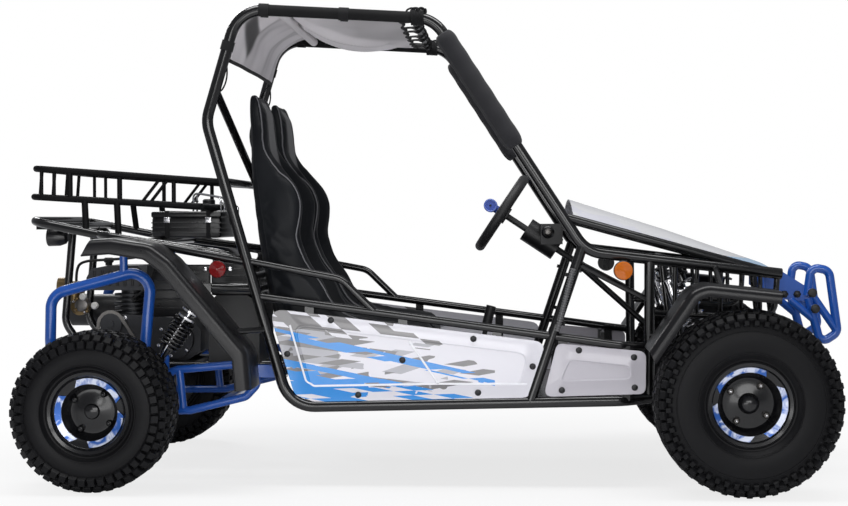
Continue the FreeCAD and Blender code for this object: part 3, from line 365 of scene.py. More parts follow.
def plate(name, outline, corner, bead, screws, material, side):
    """A flat pressed sheet with round corners, a pressed bead inside its edge and pan-head screws."""
    face_y = 408.0

    def inset(line, gap):
        out = []
        for i in range(len(line)):
            d = (line[(i + 1) % len(line)] - line[i - 1]).normalized()
            out.append(line[i] + Vector((-d.y, d.x)) * gap)
        return out

    edge = rounded(outline, corner)
    inner = rounded(bead, corner * 1.2)
    area = sum(a.x * b.y - b.x * a.y for a, b in zip(edge, edge[1:] + edge[:1]))
    turn = 1 if area > 0 else -1
    rims = [(edge, -2.4), (edge, -0.5), (inset(edge, turn * 0.8), 0.0)]
    for gap, lift in ((0.0, 0.0), (3.0, 1.6), (6.0, 1.6), (9.5, -0.6)):
        rims.append((inset(inner, turn * gap), lift))
    form = bmesh.new()
    loops = [[form.verts.new(at(p.x, side * (face_y + lift), p.y)) for p in line] for line, lift in rims]
    bridge(form, loops[:3])
    bridge(form, loops[3:])
    between = []
    for loop in loops[2:4]:
        for pair in zip(loop, loop[1:] + loop[:1]):
            between.append(form.edges.get(pair) or form.edges.new(pair))
    bmesh.ops.triangle_fill(form, use_beauty=True, use_dissolve=False, edges=between)
    form.faces.new(loops[-1])
    form.faces.new(loops[0])
    bmesh.ops.recalc_face_normals(form, faces=form.faces)
    meshes = [meshed(form, name, material)]
    meshes += heads(screw_head, [(x, side * face_y, z) for x, z in screws], (0, side, 0), screw_black)
    return joined(name, meshes, material, smooth=0.5)


for name, side in both:
    panel = plate("door_panel_" + name, [(450, 478), (1192, 389), (1148, 241), (572, 228), (520, 246)], 30.0,
                  [(508, 440), (1152, 364), (1126, 268), (574, 262), (556, 272)],
                  [(618, 446), (501, 356), (809, 340), (998, 397), (1155, 324), (691, 247), (1010, 254)],
                  side_print, side)
    lines = []
    half_width = 3.1
    for route in ([(508, 433), (551, 284), (572, 270), (905, 277), (1140, 277)], [(827, 391), (905, 277)]):
        route = rounded(route, 14.0, False)
        rings = []
        for k, p in enumerate(route):
            run = heading(route, k)
            off = Vector((-run.y, run.x)) * half_width
            rings.append([at(p.x + off.x * s, side * y, p.y + off.y * s)
                          for s, y in ((-1, 407.6), (-0.6, 410.0), (0.6, 410.0), (1, 407.6))])
        lines.append(hull("white_line", rings))
    joined("door_lines_" + name, lines, line_white, smooth=0.5)
    plate("foot_panel_" + name, [(1219, 386), (1454, 364), (1453, 252), (1183, 243)], 20.0,
          [(1250, 350), (1420, 332), (1420, 285), (1216, 278)],
          [(1277, 367), (1422, 349), (1232, 261), (1424, 269)], plain_white, side)
    if side < 0:
        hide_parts("side_panels")


# Tyres: tubeless low-pressure tyres with moulded blocks. The front ones have small blocks on a
# round crown, the rear ones chunky shoulder blocks. Each is one moulding on a pressed rim.
def turned(name, profile, steps):
    """A closed ring form from (radius, along) pairs, about the Y axis at the origin."""
    turns = [2 * math.pi * k / steps for k in range(steps)]
    return hull(name, [[(r * math.cos(a), y, r * math.sin(a)) for r, y in profile] for a in turns], around=True)


def evaluated(thing):
    """The plain mesh of an object with its modifiers done."""
    return bpy.data.meshes.new_from_object(thing.evaluated_get(bpy.context.evaluated_depsgraph_get()))


def grown(tree, **values):
    """The plain mesh that a tree gives for these sizes."""
    host = linked("host", bpy.data.meshes.new("host"))
    modifier = host.modifiers.new("grow", "NODES")
    modifier.node_group = tree
    for item in tree.interface.items_tree:
        if item.in_out == "INPUT" and item.name in values:
            modifier[item.identifier] = values[item.name]
    mesh = evaluated(host)
    bpy.data.objects.remove(host)
    return mesh


blocks = bpy.data.node_groups.new("ring of pieces", "GeometryNodeTree")
blocks.interface.new_socket(name="Geometry", in_out="OUTPUT", socket_type="NodeSocketGeometry")
for label, kind in (("Piece", "Object"), ("Count", "Int"), ("Radius", "Float"), ("Across", "Float"),
                    ("Phase", "Float"), ("Camber", "Float"), ("Finish", "Material")):
    blocks.interface.new_socket(name=label, in_out="INPUT", socket_type="NodeSocket" + kind)
given = node(blocks, "NodeGroupInput").outputs
index = node(blocks, "GeometryNodeInputIndex").outputs[0]
share = maths(blocks, "DIVIDE", maths(blocks, "ADD", index, given["Phase"]), given["Count"])
angle = maths(blocks, "MULTIPLY", share, 2 * math.pi)
beside, above = [maths(blocks, "MULTIPLY", maths(blocks, op, angle), given["Radius"]) for op in ("COSINE", "SINE")]
spot = node(blocks, "CombineXYZ", {"X": beside, "Y": given["Across"], "Z": above})
points = node(blocks, "GeometryNodePoints", {"Count": given["Count"], "Position": spot.outputs[0]})
facing = node(blocks, "CombineXYZ", {"X": given["Camber"], "Y": maths(blocks, "SUBTRACT", math.pi / 2, angle)})
piece = node(blocks, "GeometryNodeObjectInfo", {"Object": given["Piece"]})
put = node(blocks, "GeometryNodeInstanceOnPoints", {
    "Points": points.outputs[0], "Instance": piece.outputs["Geometry"], "Rotation": facing.outputs[0]})
real = node(blocks, "GeometryNodeRealizeInstances", {0: put.outputs[0]})
paint = node(blocks, "GeometryNodeSetMaterial", {"Geometry": real.outputs[0], "Material": given["Finish"]})
node(blocks, "NodeGroupOutput", {0: paint.outputs[0]})


def knob(name, long, wide, tall, skew=0.0):
    """A moulded block with sloping sides and a softened top, its foot sunk in the tyre."""
    rings = [[(x * long / 2 * s + skew * y * wide / 2, y * wide / 2 * s, z)
              for x, y in ((-1, -1), (1, -1), (1, 1), (-1, 1))]
             for z, s in ((-tall, 1.0), (tall * 0.8, 0.83), (tall, 0.68))]
    return linked(name, hull(name, rings))


tyre_rubber = finish("tyre_rubber", (0.0065, 0.0065, 0.0075), rough=0.42, grain=420.0, bump=0.35,
                     depth=0.0003, shift=0.3, specular=0.16)
rim_black = finish("rim_black", (0.005, 0.005, 0.006), rough=0.22, coat=0.3, bump=0.1, specular=0.4)
seat_r = 0.1015
crown = 0.0095


def tyre_meshes(radius, width, rows):
    """The carcass with two raised rings on each wall, and its tread blocks, at the origin."""
    w = width / 2
    tall = radius - crown - seat_r
    side = [(seat_r, w - 0.031), (seat_r + 0.003, w - 0.022), (seat_r + 0.009, w - 0.019),
            (seat_r + 0.012, w - 0.022), (seat_r + 0.016, w - 0.021), (seat_r + 0.022, w - 0.013)]
    for k in range(1, 10):
        a = math.radians(-38 + k * 12.4)
        side.append((seat_r + tall * (0.46 + 0.50 * math.sin(a)), w - 0.0445 + 0.0405 * math.cos(a) ** 0.8))
    side = [(r, y) for r, y in side if r < radius - crown - 0.003]
    for raised_r in (seat_r + 0.029, seat_r + tall * 0.62):
        k = min(range(6, len(side)), key=lambda i: abs(side[i][0] - raised_r))
        r, y = side[k]
        side[k:k + 1] = [(r + dr, y + dy) for dr, dy in (
            (-0.0016, -0.0002), (-0.0008, 0.0013), (0.0008, 0.0013), (0.0016, -0.0004))]
    side += [(radius - crown - 0.001, w - 0.045), (radius - crown, w - 0.07)]
    meshes = [turned("carcass", [(r, -y) for r, y in side] + [(r, y) for r, y in reversed(side)], 144)]
    for piece, count, r, across, phase, camber in rows:
        meshes.append(grown(blocks, Piece=piece, Count=count, Radius=r, Across=across, Phase=phase,
                            Camber=camber, Finish=tyre_rubber))
    return meshes


def moved(mesh, place, flip=False):
    """The mesh shifted to its place, turned round for the other side."""
    if flip:
        mesh.transform(Matrix.Rotation(math.pi, 4, "Z"))
    mesh.transform(Matrix.Translation(place))
    return mesh


small = knob("small_knob", 0.019, 0.022, 0.0095)
wide = knob("wide_knob", 0.021, 0.030, 0.0095, skew=0.12)
edge = knob("edge_knob", 0.025, 0.019, 0.010)
low_edge = knob("low_edge_knob", 0.016, 0.017, 0.0075)
rivet = knob("wall_dot", 0.0032, 0.0042, 0.0011)
chunk = knob("chunk_knob", 0.023, 0.029, 0.0105, skew=-0.1)
shoulder = knob("shoulder_knob", 0.024, 0.024, 0.0115)
front_rows = []
rear_rows = []
for s in (-1, 1):
    front_rows += [
        (low_edge, 52, 0.2080, s * 0.0797, 0.5, -s * 1.25), (edge, 52, 0.2212, s * 0.0745, 0.0, -s * 0.92),
        (small, 46, 0.2292, s * 0.0550, 0.5, -s * 0.35), (wide, 46, 0.2304, s * 0.0300, 0.0, -s * 0.08),
        (small, 46, 0.2316, s * 0.0085, 0.5, 0.0), (rivet, 120, 0.1305, s * 0.0806, 0.0, -s * 1.35)]
    rear_rows += [
        (shoulder, 44, 0.1765, s * 0.0925, 0.5, -s * 1.2), (shoulder, 44, 0.1922, s * 0.0820, 0.0, -s * 0.85),
        (chunk, 40, 0.1984, s * 0.0600, 0.5, -s * 0.3), (chunk, 40, 0.2003, s * 0.0330, 0.0, -s * 0.05),
        (small, 40, 0.2018, s * 0.0100, 0.5, 0.0)]


# Rims: pressed steel in gloss black with a dished disc, a domed cap and four nuts. Printed
# foil strips in brushed white and blue lie in three arcs inside the rim's edge.
def rim_mesh(w, face, strips_r):
    """A rim with its outer side towards +Y; face is the disc's place along the axle."""
    r = seat_r - 0.0003
    s = strips_r[0]
    profile = [(r, -w), (r, w - 0.003), (r + 0.006, w + 0.001), (r + 0.009, w + 0.004), (r + 0.006, w + 0.006),
               (r - 0.002, w + 0.003), (r - 0.006, w - 0.004), (strips_r[1], w - 0.008), (s, w - 0.014),
               (s - 0.004, w - 0.02), (s - 0.008, face + 0.012), (s - 0.016, face + 0.004),
               (0.045, face + 0.004), (0.03, face + 0.010), (0.013, face + 0.012), (0.013, face - 0.006),
               (0.05, face - 0.004), (s - 0.014, face - 0.002), (r - 0.006, face - 0.006), (r - 0.004, -w)]
    return turned("rim", profile, 96)


foil = finish("foil", (0.5, 0.56, 0.72), rough=0.32, metal=0.35, grain=60.0, bump=0.05, shift=0.05)
tree = foil.node_tree
tint = [n for n in tree.nodes if n.bl_idname == "ShaderNodeMix"][0]
streak = [n for n in tree.nodes if n.bl_idname == "ShaderNodeTexNoise"][0]
feed(streak, {"Scale": 28.0, "Distortion": 1.2})
sharper = node(tree, "ValToRGB", {0: streak.outputs[0]})
sharper.color_ramp.elements[0].position = 0.42
sharper.color_ramp.elements[1].position = 0.56
feed(tint, {0: sharper.outputs[0], 6: (0.03, 0.13, 0.5, 1), 7: (0.75, 0.8, 0.95, 1)})


def foil_arcs(r0, r1, y0, y1, starts):
    """Three thin printed strips lying on the cone inside the rim's edge."""
    span, lean, steps = math.radians(100), 0.16, 24
    form = bmesh.new()
    for start in starts:
        rows = []
        for k in range(steps + 1):
            a = math.radians(start) + span * k / steps
            slanted = a + lean - lean * 1.6 * k / steps
            rows.append([form.verts.new((r * math.cos(q), y, r * math.sin(q)))
                         for r, y, q in ((r0, y0, a), (r1, y1, slanted))])
        for one, two in zip(rows, rows[1:]):
            form.faces.new((one[0], one[1], two[1], two[0]))
    bmesh.ops.recalc_face_normals(form, faces=form.faces)
    for face in form.faces:
        if face.normal.y < 0:
            face.normal_flip()
    bmesh.ops.solidify(form, geom=form.faces[:], thickness=-0.0006)
    return meshed(form, "foil", foil)


nut = domed("nut", 0.0095, 0.014, 12)
stud = domed("stud", 0.0045, 0.019, 12)
front_cap = domed("cap", 0.027, 0.034, 32)
rear_cap = domed("rear_cap", 0.021, 0.016, 32)
for end, x, y, radius, width, rows, strips, starts, cap, nut_metal, stud_metal in (
        ("front", 1705, 503, 0.2415, 0.178, front_rows, (0.081, 0.098), (20, 145, 262), front_cap,
         oiled_steel, bright_steel),
        ("rear", 0, 480, 0.212, 0.2, rear_rows, (0.074, 0.092), (60, 175, 295), rear_cap, rim_black, rim_black)):
    for label, side in both:
        name = end + "_" + label
        body = "wheel_" + name if end == "front" else "rear_axle"
        place = at(x, side * y, radius * 1000)
        w = width / 2 - 0.024
        face = w - 0.052
        meshes = [rim_mesh(w, face, strips),
                  foil_arcs(strips[0] + 0.001, strips[1] - 0.001, w - 0.0125, w - 0.0070, starts),
                  headed(cap, (0, face + 0.006, 0), (0, 1, 0), rim_black)]
        for k in range(4):
            a = math.radians(34 + 90 * k)
            nut_at = (0.055 * math.cos(a), face + 0.003, 0.055 * math.sin(a))
            meshes.append(headed(nut, nut_at, (0, 1, 0), nut_metal))
            meshes.append(headed(stud, nut_at, (0, 1, 0), stud_metal))
        treads = [moved(m, place, side < 0) for m in tyre_meshes(radius, width, rows)]
        tyre = joined("tread_" + name, treads, tyre_rubber, body=body)
        meshes = [moved(m, place, side < 0) for m in meshes]
        rim = joined("rim_face_" + name, meshes, rim_black, body=body)
        if end == "front":
            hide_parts("tyre_" + name)
            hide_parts("rim_" + name)
        elif side > 0:
            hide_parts("tyres_rear")
            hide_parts("rims_rear")
for thing in (small, wide, edge, low_edge, rivet, chunk, shoulder):
    bpy.data.objects.remove(thing)


# Seats: foam on a moulded shell under black leatherette, with deep side bolsters that run up to
# the shoulders. The middle of the back and base is a lighter grey panel between piped seams. The
# foam is blown up a little against its cover, as a tight cover does.
leatherette = finish("leatherette", (0.008, 0.009, 0.011), rough=0.4, grain=240.0, bump=0.45, depth=0.0004,
                     sheen=0.01, specular=0.16)
grey_panel = finish("grey_panel", (0.06, 0.06, 0.065), rough=0.55, grain=340.0, bump=0.6, depth=0.0005,
                    sheen=0.15)
piping_grey = finish("piping_grey", (0.12, 0.12, 0.13), rough=0.4, grain=600.0, bump=0.4)
# Each station from the knees up has a point (x, z) of the seat's back, of its middle panel and of its
# bolster's edge, and half its width. Around is the loop over a station: the share of the half
# width, the way from the panel to the bolster's edge, and the share of the depth.
stations = [
    ((888, 306), (891, 384), (889, 396), 150), ((862, 296), (862, 404), (864, 426), 168),
    ((780, 294), (780, 402), (796, 438), 172), ((680, 294), (684, 396), (710, 452), 172),
    ((590, 300), (606, 398), (640, 486), 172), ((520, 330), (548, 420), (594, 556), 172),
    ((474, 410), (512, 494), (548, 620), 172), ((446, 510), (488, 578), (524, 674), 172),
    ((426, 612), (470, 658), (534, 726), 171), ((414, 690), (456, 728), (536, 769), 170),
    ((404, 770), (446, 790), (518, 812), 167), ((397, 840), (438, 850), (476, 858), 158),
    ((391, 904), (431, 910), (436, 910), 138), ((388, 969), (424, 973), (428, 973), 119),
    ((386, 1026), (417, 1034), (421, 1036), 113), ((386, 1063), (404, 1071), (406, 1073), 100)]
around = [(0.0, 0.0, 1.0), (0.2, 0.0, 1.0), (0.38, 0.0, 0.99), (0.5, 0.12, 0.97), (0.6, 0.5, 0.97),
          (0.7, 0.84, 0.98), (0.79, 0.99, 1.0), (0.88, 1.0, 0.99), (0.955, 1.0, 0.94), (1.0, 1.0, 0.84),
          (1.0, 1.0, 0.66), (1.0, 0.9, 0.48), (0.99, 0.7, 0.3), (0.97, 0.4, 0.14), (0.92, 0.2, 0.03),
          (0.75, 0.0, 0.0), (0.5, 0.0, -0.01), (0.25, 0.0, -0.01)]


def along(values, t):
    """Smooth value between stations."""
    i = min(int(t), len(values) - 2)
    f = t - i
    a, b, c, d = [values[max(0, min(len(values) - 1, i + k))] for k in (-1, 0, 1, 2)]
    return 0.5 * (2 * b + (c - a) * f + (2 * a - 5 * b + 4 * c - d) * f ** 2 + (3 * b - a - 3 * c + d) * f ** 3)


def seat_spot(t, u, g, depth, shrink=0.0):
    """A point of the seat: t along its stations, u across as a share of its half width."""
    back, middle, rim = [Vector([along([st[k][i] for st in stations], t) for i in (0, 1)]) for k in (0, 1, 2)]
    half = along([st[3] for st in stations], t) - shrink
    front = middle.lerp(rim, g)
    n = (front - back).normalized()
    p = back + n * shrink * 0.6 + (front - back - n * shrink * 1.4) * depth
    return at(p.x, u * half, p.y)


def seat_foam():
    """The closed foam form of one seat, a little smaller than its cover."""
    shrink, count = 5.0, 76
    loop = around + [(0.0, 0.0, -0.01)] + [(-u, g, depth) for u, g, depth in reversed(around[1:])]
    rings = []
    for k in range(count + 1):
        t = 0.12 + (len(stations) - 1.3) * k / count
        rings.append([seat_spot(t, u, g, depth, shrink) for u, g, depth in loop])
    first, last = [[sum(points, Vector()) / len(points)] for points in (rings[0], rings[-1])]
    return hull("seat_foam", [first] + rings + [last])


def blown(mesh, voxel, cap, pressure):
    """The foam remeshed and blown up against its own cover, each point held within cap metres."""
    thing = linked("blown", mesh)
    even = thing.modifiers.new("even", "REMESH")
    even.mode = "VOXEL"
    even.voxel_size = voxel
    base = evaluated(thing)
    thing.modifiers.clear()
    thing.data = base
    cover = thing.modifiers.new("cover", "CLOTH")
    cover.settings.use_pressure = True
    cover.settings.uniform_pressure_force = pressure
    cover.settings.effector_weights.gravity = 0.0
    cover.settings.quality = 5
    cover.collision_settings.use_collision = False
    scene = bpy.context.scene
    for number in range(1, 21):
        scene.frame_set(number)
    full = evaluated(thing)
    for spot, moved_spot in zip(base.vertices, full.vertices):
        step = moved_spot.co - spot.co
        spot.co += step * min(1.0, cap / max(step.length, 1e-9))
    thing.modifiers.clear()
    scene.frame_set(1)
    finer = thing.modifiers.new("finer", "SUBSURF")
    finer.levels = 1
    result = evaluated(thing)
    bpy.data.objects.remove(thing)
    return result


def seam(points, radius, material, sunk):
    """A thin piped or sewn line laid on the seat's cover along points."""
    nearest = [skin.find_nearest(p)[:2] for p in points]
    line = [spot - normal * sunk for spot, normal in nearest]
    rings = []
    for k, (spot, normal) in enumerate(nearest):
        ahead = heading(line, k)
        across = ahead.cross(normal).normalized()
        rings.append(ring(line[k], across, across.cross(ahead), radius, 8))
    return hull("seam", rings, material)


cover = blown(seat_foam(), voxel=0.0065, cap=0.009, pressure=4.0)
cover.materials.append(leatherette)
cover.materials.append(grey_panel)
skin = BVHTree.FromPolygons([v.co for v in cover.vertices], [p.vertices for p in cover.polygons])
steps = 200
places = [0.3 + 14.3 * k / steps for k in range(steps + 1)]
middle_line = [seat_spot(t, 0.0, 0.0, 1.0) for t in places]
for face in cover.polygons:
    c = face.center
    k = min(range(0, steps + 1, 4), key=lambda i: (middle_line[i] - Vector((c.x, 0, c.z))).length_squared)
    t = places[k]
    half = along([st[3] for st in stations], t) / 1000
    front = (seat_spot(t, 0.0, 0.0, 1.0) - seat_spot(t, 0.0, 0.0, 0.0)).normalized()
    if abs(c.y) < half * 0.52 and face.normal.dot(front) > 0.2 and 1.2 < t < 14.2:
        face.material_index = 1
sewn = []
for v in (-1, 1):
    for first, run, count, u, g, depth, r, thread, sunk in (
            (0.8, 13.6, 150, 0.53, 0.2, 1.0, 0.0016, leatherette, 0.0008),
            (0.5, 14.0, 170, 0.93, 1.0, 0.985, 0.0026, piping_grey, 0.0008),
            (1.5, 12.8, 150, 1.0, 0.5, 0.12, 0.0013, leatherette, 0.0006)):
        line = [seat_spot(first + run * k / count, v * u, g, depth) for k in range(count + 1)]
        sewn.append(seam(line, r, thread, sunk))
for t in (2.2, 3.4, 5.6, 6.8, 8.0, 9.2, 10.4, 11.8):
    line = [seat_spot(t, -0.52 + 1.04 * k / 30, 0.0, 1.0) for k in range(31)]
    sewn.append(seam(line, 0.0014, grey_panel, 0.0009))
for name, side in both:
    meshes = [mesh.copy() for mesh in [cover] + sewn]
    for mesh in meshes:
        mesh.transform(Matrix.Translation((0, side * 0.198, 0)))
    seat = joined("seat_" + name, meshes, leatherette, smooth=1.2)
    if side < 0:
        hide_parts("seats")


# Roof cloth: one woven sheet, black outside and silver inside, laced to the front cross tube,
# carried over the sleeved cross tube and drawn down behind the hoop to a cord hem.
cloth_black = finish("cloth_black", (0.006, 0.006, 0.0065), rough=0.75, grain=1400.0, bump=0.6, sheen=0.02,
                     specular=0.3)
cloth_silver = finish("cloth_silver", (0.9, 0.85, 0.88), rough=0.5, grain=1400.0, bump=0.5, shift=0.14)
sleeve_silver = finish("sleeve_silver", (0.86, 0.82, 0.84), rough=0.45, grain=1400.0, bump=0.5, shift=0.1)
# Painted shade and light: an attribute multiplies the colour of the cloth's silver inner side, darker in fold hollows
# and painted shadows, lighter on folds facing the camera.
tree = cloth_silver.node_tree
surface = tree.nodes["Principled BSDF"]
wear_and_painted_shade = node(tree, "Attribute", attribute_name="wear_and_painted_shade")
fold_shaded = node(tree, "Mix", {0: 1.0, 6: surface.inputs["Base Color"].links[0].from_socket, 7: wear_and_painted_shade.outputs["Fac"]},
              data_type="RGBA", blend_type="MULTIPLY")
feed(surface, {"Base Color": fold_shaded.outputs[2]})
# The line is (x, z, sag) from the front to the hem. Folds run from one share of the half width to
# another with a height in mm and a breadth, drapes stay at one share.
line = [(803, 1251, 12), (722, 1254, 25), (634, 1259, 27), (552, 1267, 18), (500, 1282, 5), (480, 1285, 0),
        (456, 1281, 4), (424, 1270, 9), (396, 1253, 12), (371, 1226, 15), (355, 1182, 15), (345, 1140, 9)]
folds = ((-0.92, 0.12, 20, 0.11), (-0.72, 0.5, -15, 0.08), (-0.45, 0.86, 16, 0.1), (0.4, 0.95, -9, 0.08))
drapes = ((-0.5, 13, 0.1), (-0.1, -7, 0.12), (0.28, 9, 0.1), (0.6, -7, 0.1), (0.82, 9, 0.07))
half, last = 384, len(line) - 1
nu, nv = 110, 72
form = bmesh.new()
rows = []
drops = []
for a in range(nu + 1):
    t = a / nu * last
    x, z, sag = [along([p[k] for p in line], t) for k in range(3)]
    run = Vector([along([p[k] for p in line], min(t + 0.1, last)) - along([p[k] for p in line], max(t - 0.1, 0))
                  for k in (0, 1)]).normalized()
    row = []
    drops.append([])
    for b in range(nv + 1):
        v = -1 + 2 * b / nv
        crease = noise.noise(Vector((x * 0.014, v * 3.0, z * 0.01))) * 4
        if x > 480:
            s = min((x - 480) / 290, 1)
            for c0, c1, amp, wide in folds:
                ridge = math.exp(-((v - c0 - (c1 - c0) * s ** 0.6) / wide) ** 2)
                crease += amp * ridge * math.sin(math.pi * min(s * 1.1, 1)) ** 0.6
        else:
            s = (480 - x) / 135
            for c, amp, wide in drapes:
                ridge = math.exp(-((v - c + 0.12 * s) / wide) ** 2)
                crease += amp * ridge * min(1, s * 1.8) * (1 - 0.85 * s ** 2)
        crease *= 1 - abs(v) ** 6
        drops[-1].append(crease)
        drop = sag * (1 - v * v) + crease
        pull = 4 * math.cos(8 * math.pi * (v + 1)) * max(0, 1 - t / 0.7)
        row.append(form.verts.new(at(x - run.y * drop + pull, v * half, z + run.x * drop)))
    rows.append(row)
for a in range(nu):
    for b in range(nv):
        form.faces.new((rows[a][b], rows[a][b + 1], rows[a + 1][b + 1], rows[a + 1][b]))
bmesh.ops.recalc_face_normals(form, faces=form.faces)
front_line, hem_line = [[v.co.copy() for v in row] for row in (rows[0], rows[-1])]
mesh = meshed(form, "roof_cloth", cloth_black)
mesh.materials.append(cloth_silver)


def step_down(over, soft):
    """1 well below the step, 0 well above it."""
    return 1 / (1 + math.exp(over / soft))


# Painted shade and light: the attribute darkens the inner side in the hollows of folds, paints a shadow along the
# sleeve and two broad shadows, and keeps folds that face the camera lighter.
shade = mesh.attributes.new("wear_and_painted_shade", "FLOAT", "POINT")
for a in range(nu + 1):
    t = a / nu * last
    x = along([p[0] for p in line], t)
    for b in range(nv + 1):
        v = -1 + 2 * b / nv
        tilt = (drops[a][min(b + 1, nv)] - drops[a][max(b - 1, 0)]) / (4 * half / nv)
        # Painted light and shade from each fold's slope: lighter where it faces the camera, darker where it faces away.
        value = 0.88 + 0.42 * math.tanh(5.0 * tilt)
        if x > 480:
            # Painted shadow: a dark band along the sleeve.
            value *= 1 - 0.92 * step_down(abs(x - 503 - 6 * v) - 7 - 5 * v, 1.6)
            # Painted shade over a broad wedge of the front part.
            value *= 1 - 0.36 * step_down(v + 0.35 - (x - 620) / 420, 0.05) * min(1, max(0, (x - 560) / 120))
        else:
            # Painted shadow over the rear drape's near corner.
            near = -0.97 + 0.21 * max(0, t - 8.4)
            far = -0.44 - 0.115 * (t - 9.3) ** 2
            value *= 1 - 0.93 * step_down(near - v, 0.02) * step_down(v - far, 0.02) * step_down(t - 10.45, 0.06)
        shade.data[a * (nv + 1) + b].value = max(0.04, min(1.0, value))
if mesh.polygons[nv * 20].normal.z < 0:
    mesh.flip_normals()
canopy = linked("roof_cloth", mesh)
for face in mesh.polygons:
    face.use_smooth = True
wall = canopy.modifiers.new("wall", "SOLIDIFY")
wall.thickness = 0.0016
wall.offset = -1
wall.material_offset = 1
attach(canopy, "chassis")
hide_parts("canopy")


# Roof fittings: black cord laced through the cloth's front eyelets and round the cross tube, a
# cord hem, sewn bands round the side tubes, a wound lashing at the front and the tube's sleeve.
def swept(points, radius, material, sides=8):
    """A round bar along points with closed ends."""
    rings = []
    way = heading(points, 0).orthogonal()
    for k, p in enumerate(points):
        ahead = heading(points, k)
        way = (way - ahead * way.dot(ahead)).normalized()
        rings.append(ring(p, way, ahead.cross(way), radius, sides))
    return hull("bar", rings, material)


def eased(points):
    """A smooth line through points."""
    steps = 5
    return [Vector([along([p[i] for p in points], k / steps) for i in range(3)])
            for k in range((len(points) - 1) * steps + 1)]


def helix(a, b, radius, turns, steps=18):
    """A wound line round the axis from a to b."""
    d = (b - a).normalized()
    e = d.orthogonal()
    g = d.cross(e)
    count = int(turns * steps)
    line = []
    for k in range(count + 1):
        q = 2 * math.pi * k / steps
        line.append(a.lerp(b, k / count) + (e * math.cos(q) + g * math.sin(q)) * radius)
    return line


cord_black = finish("cord_black", (0.006, 0.006, 0.007), rough=0.7, grain=1600.0, bump=0.8, sheen=0.03,
                    specular=0.3)
webbing = finish("webbing", (0.01, 0.01, 0.011), rough=0.75, grain=1500.0, bump=0.8, sheen=0.04, specular=0.3)
fittings = []
for y0 in (-384, -290):
    lace = []
    for y in (y0, y0 + 224, y0 + 448):
        lace += [at(x, y + dy, z) for x, dy, z in (
            (803, 0, 1250), (824, 64, 1259), (840, 102, 1266), (855, 112, 1251), (840, 122, 1236), (824, 160, 1243))]
    fittings.append(swept(eased(lace + [at(803, y0 + 672, 1250)]), 0.0031, cord_black))
fittings.append(swept(hem_line, 0.0052, cord_black))
fittings.append(swept(front_line, 0.0048, cord_black))
fittings.append(swept([at(480, -384, 1270.8), at(480, 384, 1270.8)], 0.0128, sleeve_silver, 24))
for side in (-1, 1):
    for x, z, way_x, way_z in ((440, 1273, 521, -30), (654, 1260.7, 521, -30), (342.5, 1178, 88, 299)):
        way = Vector((way_x, 0, way_z)).normalized()
        band = at(x, side * 400, z)
        buckle = band + Vector((0, -side * 0.014, -0.013))
        fittings.append(swept([band + way * s for s in (-0.013, -0.011, 0.011, 0.013)], 0.0176, webbing, 24))
        fittings.append(swept([buckle - way * 0.010, buckle + way * 0.010], 0.0055, webbing))
    wrap = [at(444, side * 400, 1272.8), at(836, side * 400, 1250.3)]
    fittings.append(swept(wrap, 0.0153, cloth_black, 24))
    lashing = helix(at(834, side * 400, 1250.4), at(868, side * 400, 1248.4), 0.0142, 8)
    fittings.append(swept(lashing, 0.0021, cord_black, 6))
    for x, y0, y1 in ((842, 412, 394), (858, 394, 412)):
        knot = helix(at(x, side * y0, 1263), at(x + 6, side * y1, 1265), 0.0075, 2.5)
        fittings.append(swept(knot, 0.003, cord_black, 6))
    tail = [at(x, side * y, z) for x, y, z in ((846, 398, 1264), (838, 406, 1274), (824, 402, 1270), (820, 396, 1262))]
    fittings.append(swept(eased(tail), 0.0026, cord_black, 6))
joined("roof_fittings", fittings, cord_black, smooth=0.7)

# Pillar pads: foam tube round the upper part of each screen pillar, in a black fabric sleeve that
# is closed with a strip along its inner side.
foam = finish("foam", (0.014, 0.014, 0.017), rough=0.85, grain=900.0, bump=0.6, sheen=0.12)
for name, side in both:
    a, b = at(917, side * 400, 1206.5), at(1111, side * 400, 907)
    e = Vector((0, 1, 0))
    g = (b - a).normalized().cross(e)
    rings = []
    for k in range(61):
        t = k / 60
        end = min(1, min(t, 1 - t) * 18)
        r = 0.0272 * (0.72 + 0.28 * end ** 0.5) + 0.0005 * math.sin(t * 37)
        loop = []
        for j in range(40):
            q = 2 * math.pi * j / 40
            dent = 0.0024 * math.exp(-((q - 4.3) / 0.12) ** 2)
            loop.append(a.lerp(b, t) + (e * math.cos(q) + g * math.sin(q)) * (r - dent))
        rings.append(loop)
    pad = joined("pillar_pad_" + name, [hull("pad", rings)], foam, smooth=1.0)
    if side < 0:
        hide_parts("pillar_pads")

# Steering wheel and crash pad: dipped foam grip, blue fabric pad over the hub with paler piping
# and a button at its ends.
wheel_grip = finish("wheel_grip", (0.016, 0.016, 0.017), rough=0.5, grain=800.0, bump=0.5)
pad_blue = finish("pad_blue", (0.02, 0.07, 0.42), rough=0.4, grain=900.0, bump=0.3, shift=0.1)
pad_pale = finish("pad_pale", (0.16, 0.24, 0.66), rough=0.35, grain=700.0, bump=0.3, shift=0.1)
dress(wheel_grip, "steering_wheel")
dress(pad_blue, "wheel_pad")
low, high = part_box("wheel_pad")
piping = lathed("pad_piping", [(0.0172, -0.001), (0.0188, 0.0012), (0.0172, 0.0022), (0.0155, 0.0012),
                               (0.0155, -0.001)], 32)
button = domed("pad_button", 0.0034, 0.003, 16)
meshes = []
for side in (-1, 1):
    end = Vector((low[0] + 0.02, (low[1] + high[1]) / 2 + side * 0.0752, high[2] - 0.02))
    meshes += [headed(piping, end, (0, side, 0), pad_pale), headed(button, end, (0, side, 0), black_plastic)]
joined("wheel_pad_piping", meshes, pad_pale, body="steering_wheel")

